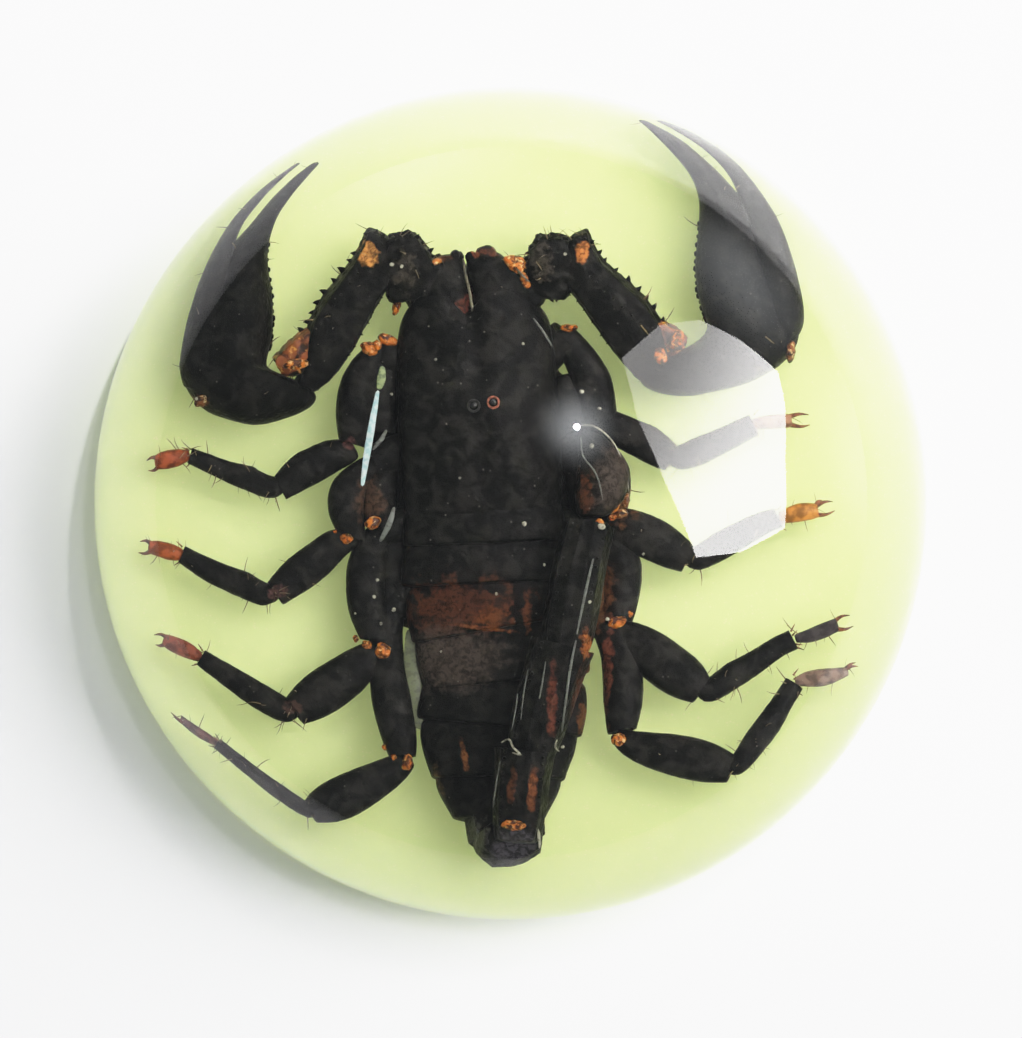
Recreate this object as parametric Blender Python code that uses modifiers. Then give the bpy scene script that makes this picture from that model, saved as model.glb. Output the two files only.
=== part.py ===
"""A black forest scorpion cast in a clear resin dome that stands on a pale green glow layer.

The pieces are the glow layer, the clear casting, parted in two round the pocket that the
scorpion lies in, and the scorpion itself, which is one dried specimen with its tail folded
forward over its back.
"""

import math

import bmesh
import bpy
from mathutils import Vector

MM = 0.001

# Driving dimensions, in millimetres. The origin is the centre of the underside, +Z is up
# and +Y is the way the scorpion's head points.
DOME_RADIUS = 42.5
TOTAL_HEIGHT = 31.5
GLOW_THICKNESS = 4.5
FOOT_ROUNDING = 1.2
PARTING_HEIGHT = 9.6
FIT_GAP = 0.3
POCKET_GAP = 0.7

# Facets of the turned pieces and of the scorpion's parts.
TURN_STEPS = 40
DOME_ARC_STEPS = 8
FOOT_ARC_STEPS = 4
BODY_SIDES = 10
LIMB_SIDES = 8
LEG_SIDES = 6
POCKET_SIDES = 8
POCKET_LEG_SIDES = 4
PART_POWER = 0.88
ROOM_POWER = 0.6

# The prosoma's and the claws' slices across the body are (y, left, right, bottom, top).
CARAPACE = [
    (18.4, -8.8, 1.4, 8.2, 11.2),
    (17.4, -9.8, 2.8, 6.9, 12.3),
    (14.0, -10.2, 3.8, 6.3, 13.7),
    (9.1, -10.2, 4.2, 6.2, 14.6),
    (4.5, -9.9, 4.5, 6.2, 14.6),
    (0.0, -9.6, 4.6, 6.3, 14.0),
    (-1.4, -9.1, 4.2, 7.0, 13.0),
]
LEFT_CHELICERA = [
    (14.2, -7.4, -3.7, 8.6, 12.4),
    (18.4, -7.7, -3.6, 8.2, 12.8),
    (20.4, -7.3, -3.6, 8.2, 12.4),
    (21.8, -6.1, -4.3, 8.8, 11.4),
    (22.4, -5.3, -4.7, 9.6, 10.4),
]
RIGHT_CHELICERA = [
    (14.2, -3.4, 1.0, 8.6, 12.4),
    (18.6, -3.5, 1.6, 8.2, 12.8),
    (20.6, -3.5, 0.1, 8.2, 12.4),
    (22.4, -3.2, -1.4, 8.8, 11.4),
    (23.0, -2.6, -1.9, 9.6, 10.4),
]

# Tergites are (rear y, left, right, top); each starts inside the rear edge of the one before.
TERGITES = [
    (-3.6, -9.6, 5.0, 13.7),
    (-7.2, -9.8, 5.6, 13.5),
    (-11.2, -9.0, 6.7, 13.2),
    (-16.0, -7.9, 7.1, 12.8),
    (-20.1, -8.2, 6.8, 12.6),
    (-24.8, -6.7, 5.6, 12.4),
    (-28.5, -5.2, 3.4, 12.0),
]
TERGITE_STEP = 0.4
BELLY_HEIGHT = 6.8

# The bases of the legs make one block under the carapace, a little wider than it.
COXAE = [
    (17.4, -9.8, 3.2, 7.2, 9.0),
    (15.6, -10.5, 3.8, 6.5, 9.4),
    (10.8, -11.0, 5.4, 6.4, 9.6),
    (5.5, -11.9, 6.2, 6.4, 9.6),
    (0.2, -12.4, 6.2, 6.4, 9.6),
    (-5.0, -11.8, 6.6, 6.4, 9.6),
    (-8.4, -10.4, 6.2, 6.5, 9.4),
    (-9.8, -9.4, 5.2, 7.2, 9.0),
]

# The claws' hands end in the fixed finger; the movable finger is the outer one.
LEFT_HAND = [
    (7.5, -27.4, -22.4, 8.0, 11.4),
    (8.5, -29.0, -19.2, 6.8, 12.8),
    (10.2, -29.4, -17.9, 6.2, 13.4),
    (11.8, -29.0, -20.4, 6.0, 13.6),
    (12.9, -28.9, -21.9, 6.0, 13.7),
    (15.5, -28.4, -21.4, 6.0, 13.6),
    (19.0, -27.6, -21.3, 6.3, 13.2),
    (22.5, -26.4, -22.1, 6.8, 12.4),
    (25.2, -24.3, -21.9, 7.4, 11.4),
    (27.4, -22.8, -21.0, 7.9, 10.6),
    (29.4, -21.0, -19.7, 8.4, 9.9),
    (31.1, -18.9, -18.2, 8.8, 9.4),
]
LEFT_FINGER = [
    (10.2, -29.8, -28.2, 8.6, 11.2),
    (11.8, -30.4, -27.4, 7.9, 12.0),
    (15.3, -30.1, -26.2, 7.6, 12.2),
    (20.4, -28.9, -25.7, 7.7, 11.9),
    (25.4, -26.8, -25.4, 8.1, 11.0),
    (28.5, -24.5, -23.4, 8.5, 10.4),
    (30.4, -22.3, -21.6, 8.8, 9.9),
    (31.6, -20.6, -20.2, 9.0, 9.5),
]
RIGHT_HAND = [
    (9.7, 16.2, 19.4, 8.0, 11.4),
    (10.5, 13.4, 22.8, 6.8, 12.8),
    (11.8, 11.6, 25.0, 6.2, 13.4),
    (13.4, 13.4, 25.7, 6.0, 13.6),
    (14.8, 17.2, 25.6, 6.0, 13.7),
    (16.4, 17.9, 25.0, 6.0, 13.7),
    (18.6, 16.8, 24.5, 6.1, 13.5),
    (22.0, 16.4, 23.2, 6.4, 13.0),
    (26.0, 16.9, 21.6, 7.0, 12.2),
    (28.5, 16.8, 20.3, 7.5, 11.4),
    (30.4, 16.0, 18.6, 7.9, 10.8),
    (32.2, 14.7, 17.0, 8.3, 10.2),
    (33.8, 13.1, 15.0, 8.6, 9.8),
    (35.1, 12.0, 12.7, 8.9, 9.4),
]
RIGHT_FINGER = [
    (14.6, 24.4, 26.0, 8.6, 11.2),
    (16.2, 23.6, 26.9, 7.9, 12.0),
    (20.4, 22.9, 26.4, 7.6, 12.2),
    (25.0, 22.1, 24.8, 7.8, 11.8),
    (29.0, 20.6, 22.6, 8.1, 11.1),
    (32.2, 18.5, 20.4, 8.4, 10.4),
    (34.4, 16.3, 18.2, 8.7, 9.9),
    (35.6, 14.8, 16.3, 8.9, 9.6),
    (36.1, 13.8, 14.4, 9.0, 9.4),
]

# The limbs' stations are (x, y, z, width, depth).
LEFT_ARM = {
    "femur": [(-6.0, 17.6, 10.0, 4.4, 4.2), (-9.0, 20.8, 10.2, 5.0, 4.6), (-11.5, 22.3, 10.2, 4.8, 4.4)],
    "patella": [
        (-11.4, 21.0, 10.2, 4.2, 4.6),
        (-13.6, 19.0, 10.2, 4.8, 5.2),
        (-15.6, 15.9, 10.2, 5.5, 5.4),
        (-17.9, 12.3, 10.0, 5.0, 5.0),
        (-19.9, 9.9, 9.9, 4.0, 4.4),
    ],
}
RIGHT_ARM = {
    "femur": [(0.8, 18.2, 10.0, 4.4, 4.2), (3.6, 20.8, 10.2, 5.2, 4.6), (6.0, 21.7, 10.2, 4.6, 4.4)],
    "patella": [
        (6.2, 20.6, 10.2, 4.2, 4.6),
        (8.0, 18.4, 10.2, 5.2, 5.2),
        (10.2, 15.6, 10.2, 5.6, 5.4),
        (12.4, 12.9, 10.0, 5.0, 5.0),
        (14.2, 11.2, 9.9, 3.6, 4.0),
    ],
}
TAIL = {
    "segment_1": [
        (-1.2, -24.0, 9.2, 7.4, 5.8),
        (-0.6, -28.0, 9.4, 7.0, 5.8),
        (-0.3, -31.0, 10.0, 6.4, 5.2),
    ],
    "segment_2": [
        (-0.3, -30.6, 10.4, 6.4, 4.8),
        (-0.1, -31.7, 12.7, 6.3, 4.6),
        (0.3, -30.8, 14.8, 5.4, 4.4),
    ],
    "segment_3": [
        (0.5, -30.4, 15.2, 4.8, 4.4),
        (0.9, -26.5, 15.8, 5.1, 4.8),
        (1.2, -22.6, 16.0, 5.1, 4.8),
    ],
    "segment_4": [
        (2.0, -22.2, 16.4, 5.0, 4.6),
        (3.5, -17.5, 16.6, 5.5, 4.9),
        (4.7, -12.9, 16.4, 5.4, 4.7),
    ],
    "segment_5": [
        (5.2, -12.6, 16.2, 4.8, 4.4),
        (5.9, -7.0, 15.7, 4.7, 4.2),
        (6.7, -1.8, 14.6, 4.2, 4.0),
    ],
    "telson": [
        (7.0, -1.2, 14.2, 2.8, 3.0),
        (7.9, 1.6, 13.6, 4.6, 4.0),
        (7.9, 4.2, 13.5, 3.6, 3.2),
        (7.1, 6.0, 13.9, 1.7, 1.7),
        (5.9, 6.8, 14.6, 0.5, 0.5),
    ],
}

# A leg's stations are (x, y, width). The hip is the point where it leaves the body.
LEGS = {
    "left_leg_1": {
        "hip": (-7.6, 11.4),
        "femur": [(-11.4, 13.2, 3.0), (-13.0, 11.0, 3.8), (-13.5, 8.0, 4.0), (-13.9, 5.0, 3.2)],
        "patella": [(-14.2, 4.3, 2.8), (-16.2, 3.6, 3.1), (-18.4, 2.6, 3.4), (-20.2, 1.7, 2.8)],
        "tibia": [(-20.8, 1.4, 2.2), (-23.6, 2.2, 2.3), (-26.2, 3.2, 2.0), (-28.7, 4.1, 1.6)],
        "foot": [(-28.9, 4.1, 1.2), (-30.4, 4.0, 1.6), (-31.7, 3.7, 1.2), (-32.4, 3.4, 0.5)],
    },
    "left_leg_2": {
        "hip": (-7.8, 5.4),
        "femur": [(-12.3, 3.4, 2.8), (-14.2, 1.6, 3.4), (-14.5, -0.6, 3.5), (-14.1, -2.6, 3.0)],
        "patella": [(-15.0, -3.6, 2.8), (-17.1, -5.2, 3.2), (-19.2, -6.8, 3.5), (-20.9, -8.0, 2.9)],
        "tibia": [(-21.4, -8.3, 2.2), (-23.6, -7.3, 2.5), (-26.4, -5.8, 2.0), (-29.1, -4.5, 1.6)],
        "foot": [(-29.3, -4.5, 1.1), (-30.9, -4.4, 1.5), (-32.4, -4.2, 1.1), (-33.1, -4.0, 0.5)],
    },
    "left_leg_3": {
        "hip": (-7.4, -1.2),
        "femur": [(-11.4, -1.4, 3.0), (-12.7, -4.6, 3.6), (-12.8, -8.4, 3.6), (-11.9, -12.0, 3.0)],
        "patella": [(-12.2, -13.6, 3.0), (-14.6, -15.4, 3.8), (-17.0, -17.1, 4.0), (-19.2, -18.6, 3.2)],
        "tibia": [(-19.8, -19.0, 2.2), (-22.4, -17.5, 2.5), (-25.2, -15.7, 2.3), (-27.8, -14.0, 1.7)],
        "foot": [(-28.0, -13.9, 1.2), (-29.6, -13.0, 1.6), (-31.1, -12.3, 1.1), (-31.8, -12.1, 0.5)],
    },
    "left_leg_4": {
        "hip": (-6.6, -6.4),
        "femur": [(-9.6, -7.6, 2.8), (-10.7, -12.5, 3.5), (-10.4, -17.5, 3.9), (-9.8, -22.0, 2.7)],
        "patella": [(-9.8, -23.4, 2.6), (-12.3, -25.1, 3.4), (-15.1, -26.8, 3.6), (-17.5, -28.2, 2.6)],
        "tibia": [(-18.0, -28.4, 1.6), (-21.2, -26.2, 1.6), (-24.6, -23.4, 1.4), (-27.3, -21.6, 1.2)],
        "foot": [(-27.4, -21.7, 0.9), (-28.8, -20.9, 1.1), (-30.2, -19.8, 0.8), (-30.9, -19.2, 0.4)],
    },
    "right_leg_1": {
        "hip": (2.0, 12.0),
        "femur": [(4.6, 14.6, 2.2), (6.2, 12.6, 2.6), (7.4, 10.0, 3.1), (8.0, 7.4, 2.8)],
        "patella": [(8.9, 6.6, 2.6), (10.6, 5.9, 3.4), (12.3, 4.9, 3.4), (13.8, 3.8, 2.8)],
        "tibia": [(14.5, 3.5, 2.0), (16.8, 4.6, 2.1), (19.0, 5.6, 1.9), (21.2, 6.8, 1.6)],
        "foot": [(21.4, 6.8, 1.0), (23.2, 7.0, 1.3), (25.0, 7.2, 1.0), (26.0, 7.4, 0.5)],
    },
    "right_leg_2": {
        "hip": (2.4, 5.4),
        "femur": [(7.2, 5.4, 2.8), (8.7, 3.2, 3.2), (9.0, 0.9, 3.2), (9.1, -1.2, 2.8)],
        "patella": [(9.8, -1.9, 3.0), (11.8, -2.9, 4.2), (13.4, -3.9, 4.0), (15.1, -4.9, 2.8)],
        "tibia": [(15.8, -4.9, 2.1), (18.1, -4.2, 2.4), (20.7, -2.8, 2.1), (23.0, -1.5, 1.5)],
        "foot": [(23.2, -1.4, 1.2), (25.2, -1.0, 1.5), (27.1, -0.6, 1.2), (28.2, -0.3, 0.5)],
    },
    "right_leg_3": {
        "hip": (2.8, -1.2),
        "femur": [(8.0, -2.6, 3.0), (9.5, -5.4, 3.6), (9.6, -8.4, 3.6), (9.4, -11.0, 3.0)],
        "patella": [(9.9, -12.2, 3.0), (12.1, -13.6, 4.1), (14.3, -15.1, 4.1), (16.3, -16.5, 3.1)],
        "tibia": [(17.0, -16.7, 2.2), (19.2, -15.7, 2.6), (22.0, -14.0, 2.3), (25.1, -12.2, 1.8)],
        "foot": [(25.3, -12.1, 1.2), (27.2, -11.4, 1.5), (28.9, -10.9, 1.2), (30.0, -10.5, 0.5)],
    },
    "right_leg_4": {
        "hip": (3.2, -7.0),
        "femur": [(8.0, -9.4, 2.8), (9.5, -13.4, 3.3), (9.9, -17.2, 3.5), (9.9, -20.6, 2.6)],
        "patella": [(10.3, -21.3, 2.2), (13.1, -22.2, 3.5), (16.3, -23.1, 3.8), (19.1, -23.9, 3.0)],
        "tibia": [(19.8, -24.1, 2.2), (21.3, -22.4, 2.2), (23.1, -19.6, 1.9), (25.1, -16.4, 1.3)],
        "foot": [(25.2, -16.1, 1.0), (27.4, -15.6, 1.6), (29.6, -15.3, 1.1), (30.8, -14.9, 0.4)],
    },
}
# The height of a leg at the start and the end of each part, and its depth over its width.
LEG_HEIGHTS = {
    "coxa": (8.2, 9.0),
    "femur": (9.0, 9.4),
    "patella": (9.4, 9.2),
    "tibia": (9.0, 7.7),
    "foot": (7.6, 7.2),
}
LEG_DEPTHS = {"coxa": 1.0, "femur": 0.9, "patella": 0.75, "tibia": 0.85, "foot": 0.9}
COXA_WIDTH = 3.6

# The pocket's rooms, as slices like the claws'. The first holds the body and the thighs.
BODY_ROOM = [
    (24.2, -8.8, 3.2, 7.0, 13.9),
    (18.0, -12.6, 6.4, 5.4, 14.8),
    (13.5, -16.2, 9.6, 5.3, 15.5),
    (6.0, -17.4, 11.6, 5.2, 15.7),
    (-6.0, -17.2, 13.2, 5.2, 15.2),
    (-14.0, -15.0, 13.6, 5.4, 14.4),
    (-22.0, -13.2, 12.8, 5.8, 13.9),
    (-30.0, -8.8, 7.6, 6.0, 13.4),
]
LEFT_CLAW_ROOM = [
    (6.2, -29.4, -20.0, 6.6, 13.0),
    (8.2, -31.2, -16.2, 5.3, 14.5),
    (13.0, -31.6, -18.4, 5.1, 14.7),
    (22.0, -29.8, -20.2, 5.4, 14.0),
    (28.0, -26.2, -19.0, 6.8, 11.8),
    (32.6, -21.6, -16.8, 7.9, 10.4),
]
RIGHT_CLAW_ROOM = [
    (8.4, 14.8, 20.8, 6.6, 13.0),
    (10.4, 10.4, 25.6, 5.3, 14.5),
    (18.0, 14.6, 28.4, 5.1, 14.7),
    (24.0, 15.0, 26.9, 5.4, 14.1),
    (30.0, 14.6, 23.7, 6.6, 12.4),
    (34.0, 11.4, 19.7, 7.4, 11.1),
    (37.0, 10.6, 16.0, 8.0, 10.4),
]

# How far a limb's rounded end reaches past its last station, and how small it ends.
END_REACH = 0.22
END_SIZE = 0.62

# Colours, as linear red, green and blue.
GLOW_GREEN = (0.66, 0.78, 0.34)
CLEAR_RESIN = (0.97, 1.0, 0.95)
SCORPION_BLACK = (0.018, 0.014, 0.012)


def clear_scene():
    """Remove every object, so that the model is all there is."""
    for item in list(bpy.data.objects):
        bpy.data.objects.remove(item, do_unlink=True)


def make_collection(name):
    """A new collection in the scene."""
    group = bpy.data.collections.new(name)
    bpy.context.scene.collection.children.link(group)
    return group


def add_object(name, mesh, group):
    """An object of the given mesh in a collection."""
    item = bpy.data.objects.new(name, mesh)
    group.objects.link(item)
    return item


def as_cutter(item):
    """Mark an object as one that only cuts or joins another."""
    item.hide_render = True
    item.display_type = "WIRE"
    return item


def make_material(name, colour, roughness, transmission=0.0, ior=1.5):
    """A Principled material of one colour."""
    material = bpy.data.materials.new(name)
    material.use_nodes = True
    shader = material.node_tree.nodes["Principled BSDF"]
    shader.inputs["Base Color"].default_value = (*colour, 1.0)
    shader.inputs["Roughness"].default_value = roughness
    shader.inputs["Metallic"].default_value = 0.0
    shader.inputs["Transmission Weight"].default_value = transmission
    shader.inputs["IOR"].default_value = ior
    return material


def turned(name, profile, group):
    """A solid turned about Z from a profile of (radius, height) that runs down its outer side."""
    mesh = bpy.data.meshes.new(name)
    points = [(radius * MM, 0.0, height * MM) for radius, height in profile]
    edges = [(index, index + 1) for index in range(len(points) - 1)]
    mesh.from_pydata(points, edges, [])
    item = add_object(name, mesh, group)
    screw = item.modifiers.new("turn", "SCREW")
    screw.axis = "Z"
    screw.steps = TURN_STEPS
    screw.render_steps = TURN_STEPS
    screw.use_merge_vertices = True
    screw.merge_threshold = 0.00001
    screw.use_smooth_shade = True
    return item


def dome_arc(top, bottom, steps):
    """Points down the dome's outer side, half an ellipse that stands on the glow layer."""
    cap = TOTAL_HEIGHT - GLOW_THICKNESS
    start = math.asin((top - GLOW_THICKNESS) / cap)
    end = math.asin((bottom - GLOW_THICKNESS) / cap)
    points = []
    for index in range(steps + 1):
        angle = start + (end - start) * index / steps
        points.append((DOME_RADIUS * math.cos(angle), GLOW_THICKNESS + cap * math.sin(angle)))
    return points


def glow_base(group):
    """The poured layer of glow resin under the dome, rounded at its foot."""
    foot = []
    for index in range(FOOT_ARC_STEPS + 1):
        angle = 0.5 * math.pi * index / FOOT_ARC_STEPS
        radius = DOME_RADIUS - FOOT_ROUNDING * (1.0 - math.cos(angle))
        foot.append((radius, FOOT_ROUNDING * (1.0 - math.sin(angle))))
    profile = [(0.0, GLOW_THICKNESS), (DOME_RADIUS, GLOW_THICKNESS), *foot, (0.0, 0.0)]
    item = turned("glow_base", profile, group)
    item.data.materials.append(make_material("glow_resin", GLOW_GREEN, 0.35))
    return item


def cut_pocket(item, pocket):
    """Take the scorpion's pocket out of one half of the clear casting."""
    cut = item.modifiers.new("pocket", "BOOLEAN")
    cut.operation = "DIFFERENCE"
    cut.solver = "EXACT"
    cut.operand_type = "COLLECTION"
    cut.collection = pocket
    cut.use_self = True


def resin_half(name, top, bottom, steps, material, pocket, group):
    """The clear casting between two heights, less the scorpion's pocket."""
    arc = dome_arc(top, bottom, steps)
    profile = [*arc, (0.0, bottom)]
    if arc[0][0] > FIT_GAP:
        profile.insert(0, (0.0, top))
    else:
        profile[0] = (0.0, top)
    item = turned(name, profile, group)
    item.data.materials.append(material)
    cut_pocket(item, pocket)
    return item


def section(centre, side, up, width, depth, sides, power=PART_POWER):
    """Points of one closed section, squarer than an ellipse as the power falls below 1."""
    angles = [2.0 * math.pi * (index + 0.5) / sides for index in range(sides)]
    across = [math.copysign(abs(math.cos(angle)) ** power, math.cos(angle)) for angle in angles]
    along = [math.copysign(abs(math.sin(angle)) ** power, math.sin(angle)) for angle in angles]
    half_width = 0.5 * width / max(across)
    half_depth = 0.5 * depth / max(along)
    return [centre + side * (half_width * a) + up * (half_depth * b) for a, b in zip(across, along)]


def loft(name, sections, group):
    """A closed skin over sections of one count of points, capped at both ends."""
    shape = bmesh.new()
    rings = [[shape.verts.new(point * MM) for point in points] for points in sections]
    for ring, following in zip(rings, rings[1:]):
        for index in range(len(ring)):
            ahead = (index + 1) % len(ring)
            shape.faces.new((ring[index], ring[ahead], following[ahead], following[index]))
    shape.faces.new(rings[0][::-1])
    shape.faces.new(rings[-1])
    bmesh.ops.recalc_face_normals(shape, faces=shape.faces)
    mesh = bpy.data.meshes.new(name)
    shape.to_mesh(mesh)
    shape.free()
    return as_cutter(add_object(name, mesh, group))


def grown(width, depth, gap, sides):
    """A section's size, or for a pocket the size whose flats clear it by the gap."""
    if gap == 0.0:
        return width, depth
    spread = 1.0 / math.cos(math.pi / sides)
    return (width + 2.0 * gap) * spread, (depth + 2.0 * gap) * spread


def sliced(name, slices, group, sides, power=PART_POWER):
    """A piece from upright slices (y, left, right, bottom, top)."""
    across = Vector((1, 0, 0))
    up = Vector((0, 0, 1))
    sections = []
    for y, left, right, bottom, top in slices:
        centre = Vector(((left + right) / 2.0, y, (bottom + top) / 2.0))
        sections.append(section(centre, across, up, right - left, top - bottom, sides, power))
    return loft(name, sections, group)


def with_rounded_ends(stations):
    """The stations of a limb with a smaller one added past each end."""
    ends = []
    for tip, inner in ((stations[0], stations[1]), (stations[-1], stations[-2])):
        away = (Vector(tip[:3]) - Vector(inner[:3])).normalized()
        point = Vector(tip[:3]) + away * (END_REACH * tip[3])
        ends.append((*point, tip[3] * END_SIZE, tip[4] * END_SIZE))
    return [ends[0], *stations, ends[1]]


def limb(name, stations, group, sides, room=0.0):
    """A piece through stations (x, y, z, width, depth), with its width kept level.

    A pocket has room round the piece and flat ends past its rounded ones.
    """
    end_reach = 0.0
    if room == 0.0:
        stations = with_rounded_ends(stations)
    else:
        end_reach = room + END_REACH * max(stations[0][3], stations[-1][3])
    points = [Vector(station[:3]) for station in stations]
    last = len(points) - 1
    sections = []
    side = None
    for index, station in enumerate(stations):
        ahead = (points[min(index + 1, last)] - points[max(index - 1, 0)]).normalized()
        level = ahead.cross(Vector((0, 0, 1)))
        if side is not None and level.dot(side) < 0.0:
            level.negate()
        if side is None or level.length > 0.5:
            side = level.normalized()
        up = side.cross(ahead).normalized()
        centre = points[index]
        if index == 0:
            centre = centre - ahead * end_reach
        if index == last:
            centre = centre + ahead * end_reach
        width, depth = grown(station[3], station[4], room, sides)
        sections.append(section(centre, side, up, width, depth, sides))
    return loft(name, sections, group)


def leg_stations(part, stations):
    """A leg part's (x, y, width) stations with their heights and depths."""
    start, end = LEG_HEIGHTS[part]
    last = len(stations) - 1
    full = []
    for index, (x, y, width) in enumerate(stations):
        full.append((x, y, start + (end - start) * index / last, width, width * LEG_DEPTHS[part]))
    return full


def mesosoma_slices():
    """The slices of the hind body, with a step where each tergite starts."""
    step = TERGITE_STEP
    slices = []
    front, left, right, _, top = CARAPACE[-2]
    for rear, rear_left, rear_right, rear_top in TERGITES:
        slices.append((front - step, left + step, right - step, BELLY_HEIGHT, top - step))
        slices.append((rear, rear_left, rear_right, BELLY_HEIGHT, rear_top))
        front, left, right, top = rear, rear_left, rear_right, rear_top
    end = 2.0 * step
    slices.append((front - end, left + end, right - end, BELLY_HEIGHT + end, top - end))
    return slices


def scorpion_parts(group):
    """Every part of the scorpion, each overlapping its neighbours; the hind body is returned."""
    for name, slices in (
        ("left_chelicera", LEFT_CHELICERA),
        ("right_chelicera", RIGHT_CHELICERA),
        ("left_hand", LEFT_HAND),
        ("left_finger", LEFT_FINGER),
        ("right_hand", RIGHT_HAND),
        ("right_finger", RIGHT_FINGER),
    ):
        sliced(name, slices, group, LIMB_SIDES)
    for side, arm in (("left", LEFT_ARM), ("right", RIGHT_ARM)):
        for part, stations in arm.items():
            limb(f"{side}_palp_{part}", stations, group, LIMB_SIDES)
    for part, stations in TAIL.items():
        limb(f"tail_{part}", stations, group, LIMB_SIDES)
    for name, leg in LEGS.items():
        hip = (*leg["hip"], COXA_WIDTH)
        coxa = [hip, leg["femur"][0]]
        limb(f"{name}_coxa", leg_stations("coxa", coxa), group, LEG_SIDES)
        for part in ("femur", "patella", "tibia", "foot"):
            limb(f"{name}_{part}", leg_stations(part, leg[part]), group, LEG_SIDES)
    sliced("coxae", COXAE, group, LIMB_SIDES)
    sliced("carapace", CARAPACE, group, BODY_SIDES)
    return sliced("mesosoma", mesosoma_slices(), group, BODY_SIDES)


def pocket_parts(group):
    """The rooms of the pocket: slices for the body and claws, and grown limbs for the rest."""
    for name, slices in (
        ("body_room", BODY_ROOM),
        ("left_claw_room", LEFT_CLAW_ROOM),
        ("right_claw_room", RIGHT_CLAW_ROOM),
    ):
        sliced(name, slices, group, POCKET_SIDES, ROOM_POWER)
    for side, arm in (("left", LEFT_ARM), ("right", RIGHT_ARM)):
        for part, stations in arm.items():
            limb(f"{side}_palp_{part}_room", stations, group, POCKET_SIDES, POCKET_GAP)
    for part, stations in TAIL.items():
        limb(f"tail_{part}_room", stations, group, POCKET_SIDES, POCKET_GAP)
    for name, leg in LEGS.items():
        patella = leg_stations("patella", leg["patella"])
        shin = leg_stations("tibia", leg["tibia"])
        foot = leg_stations("foot", leg["foot"])
        shin_and_foot = [shin[0], shin[1], shin[3], foot[1], foot[3]]
        limb(f"{name}_patella_room", patella, group, POCKET_LEG_SIDES, POCKET_GAP)
        limb(f"{name}_shin_room", shin_and_foot, group, POCKET_LEG_SIDES, POCKET_GAP)


def scorpion(group, pieces):
    """The whole specimen, its parts joined in one solid."""
    body = scorpion_parts(pieces)
    pieces.objects.unlink(body)
    group.objects.link(body)
    body.name = "scorpion"
    body.hide_render = False
    body.display_type = "TEXTURED"
    body.data.materials.append(make_material("scorpion_shell", SCORPION_BLACK, 0.35))
    join = body.modifiers.new("grown_together", "BOOLEAN")
    join.operation = "UNION"
    join.solver = "EXACT"
    join.operand_type = "COLLECTION"
    join.collection = pieces
    return body


def build():
    """The glow layer, the two halves of the clear casting and the scorpion between them."""
    clear_scene()
    paperweight = make_collection("scorpion_in_resin_dome")
    joined = make_collection("scorpion_pieces")
    pocket = make_collection("pocket_cutters")
    scorpion(paperweight, joined)
    pocket_parts(pocket)
    glow_base(paperweight)
    clear = make_material("clear_resin", CLEAR_RESIN, 0.02, transmission=1.0, ior=1.52)
    floor = GLOW_THICKNESS + FIT_GAP
    below = PARTING_HEIGHT - FIT_GAP / 2.0
    above = PARTING_HEIGHT + FIT_GAP / 2.0
    resin_half("resin_lower", below, floor, 2, clear, pocket, paperweight)
    resin_half("resin_upper", TOTAL_HEIGHT, above, DOME_ARC_STEPS, clear, pocket, paperweight)


build()
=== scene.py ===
"""Black forest scorpion cast in a clear resin dome that stands on a pale green glow layer."""

import math
import random

import bmesh
import bpy
from mathutils import Matrix, Vector
from mathutils.bvhtree import BVHTree


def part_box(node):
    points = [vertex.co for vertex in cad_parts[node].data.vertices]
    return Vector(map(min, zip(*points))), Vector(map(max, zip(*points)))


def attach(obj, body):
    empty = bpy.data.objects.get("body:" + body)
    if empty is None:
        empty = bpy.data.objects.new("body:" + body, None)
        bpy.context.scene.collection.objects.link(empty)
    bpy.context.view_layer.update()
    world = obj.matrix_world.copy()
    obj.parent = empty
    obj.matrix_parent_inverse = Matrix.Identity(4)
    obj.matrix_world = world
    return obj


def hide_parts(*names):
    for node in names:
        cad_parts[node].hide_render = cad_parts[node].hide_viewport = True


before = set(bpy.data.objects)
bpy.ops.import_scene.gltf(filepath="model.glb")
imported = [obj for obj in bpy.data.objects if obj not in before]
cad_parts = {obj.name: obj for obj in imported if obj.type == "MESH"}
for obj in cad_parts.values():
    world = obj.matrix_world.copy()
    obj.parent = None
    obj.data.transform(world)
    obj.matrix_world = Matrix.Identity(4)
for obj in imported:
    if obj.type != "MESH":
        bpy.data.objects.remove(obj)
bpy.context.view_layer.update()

bl_info = {
    "name": "Scorpion in Resin Dome",
    "version": (1, 0, 0),
    "blender": (4, 5, 0),
    "location": "3D View > Sidebar > Scorpion Dome",
    "description": "Models a forest scorpion cast in a clear resin dome on a glow layer",
    "category": "Mesh",
}

MM = 0.001
LAYER_REACH, _, LAYER_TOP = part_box("glow_base")[1]
DOME_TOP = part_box("resin_upper")[1][2]
UP = Vector((0.0, 0.0, 1.0))
ORIGIN = (0.0, 0.0, 0.0)
TOLERANCE = 0.01 * MM

# All tables are in millimetres. Slices across the body are (y, left, right, bottom, top).
CARAPACE = [
    (18.9, -8.2, 0.2, 11.8, 12.9), (18.2, -9.0, 1.4, 10.0, 13.2), (16.4, -9.9, 3.1, 7.2, 13.5),
    (14.0, -10.2, 3.8, 6.3, 13.9), (9.1, -10.2, 4.2, 6.2, 14.6), (4.5, -9.9, 4.5, 6.2, 14.6),
    (0.0, -9.6, 4.6, 6.3, 14.0), (-1.4, -9.1, 4.2, 7.0, 13.0),
]
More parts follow.
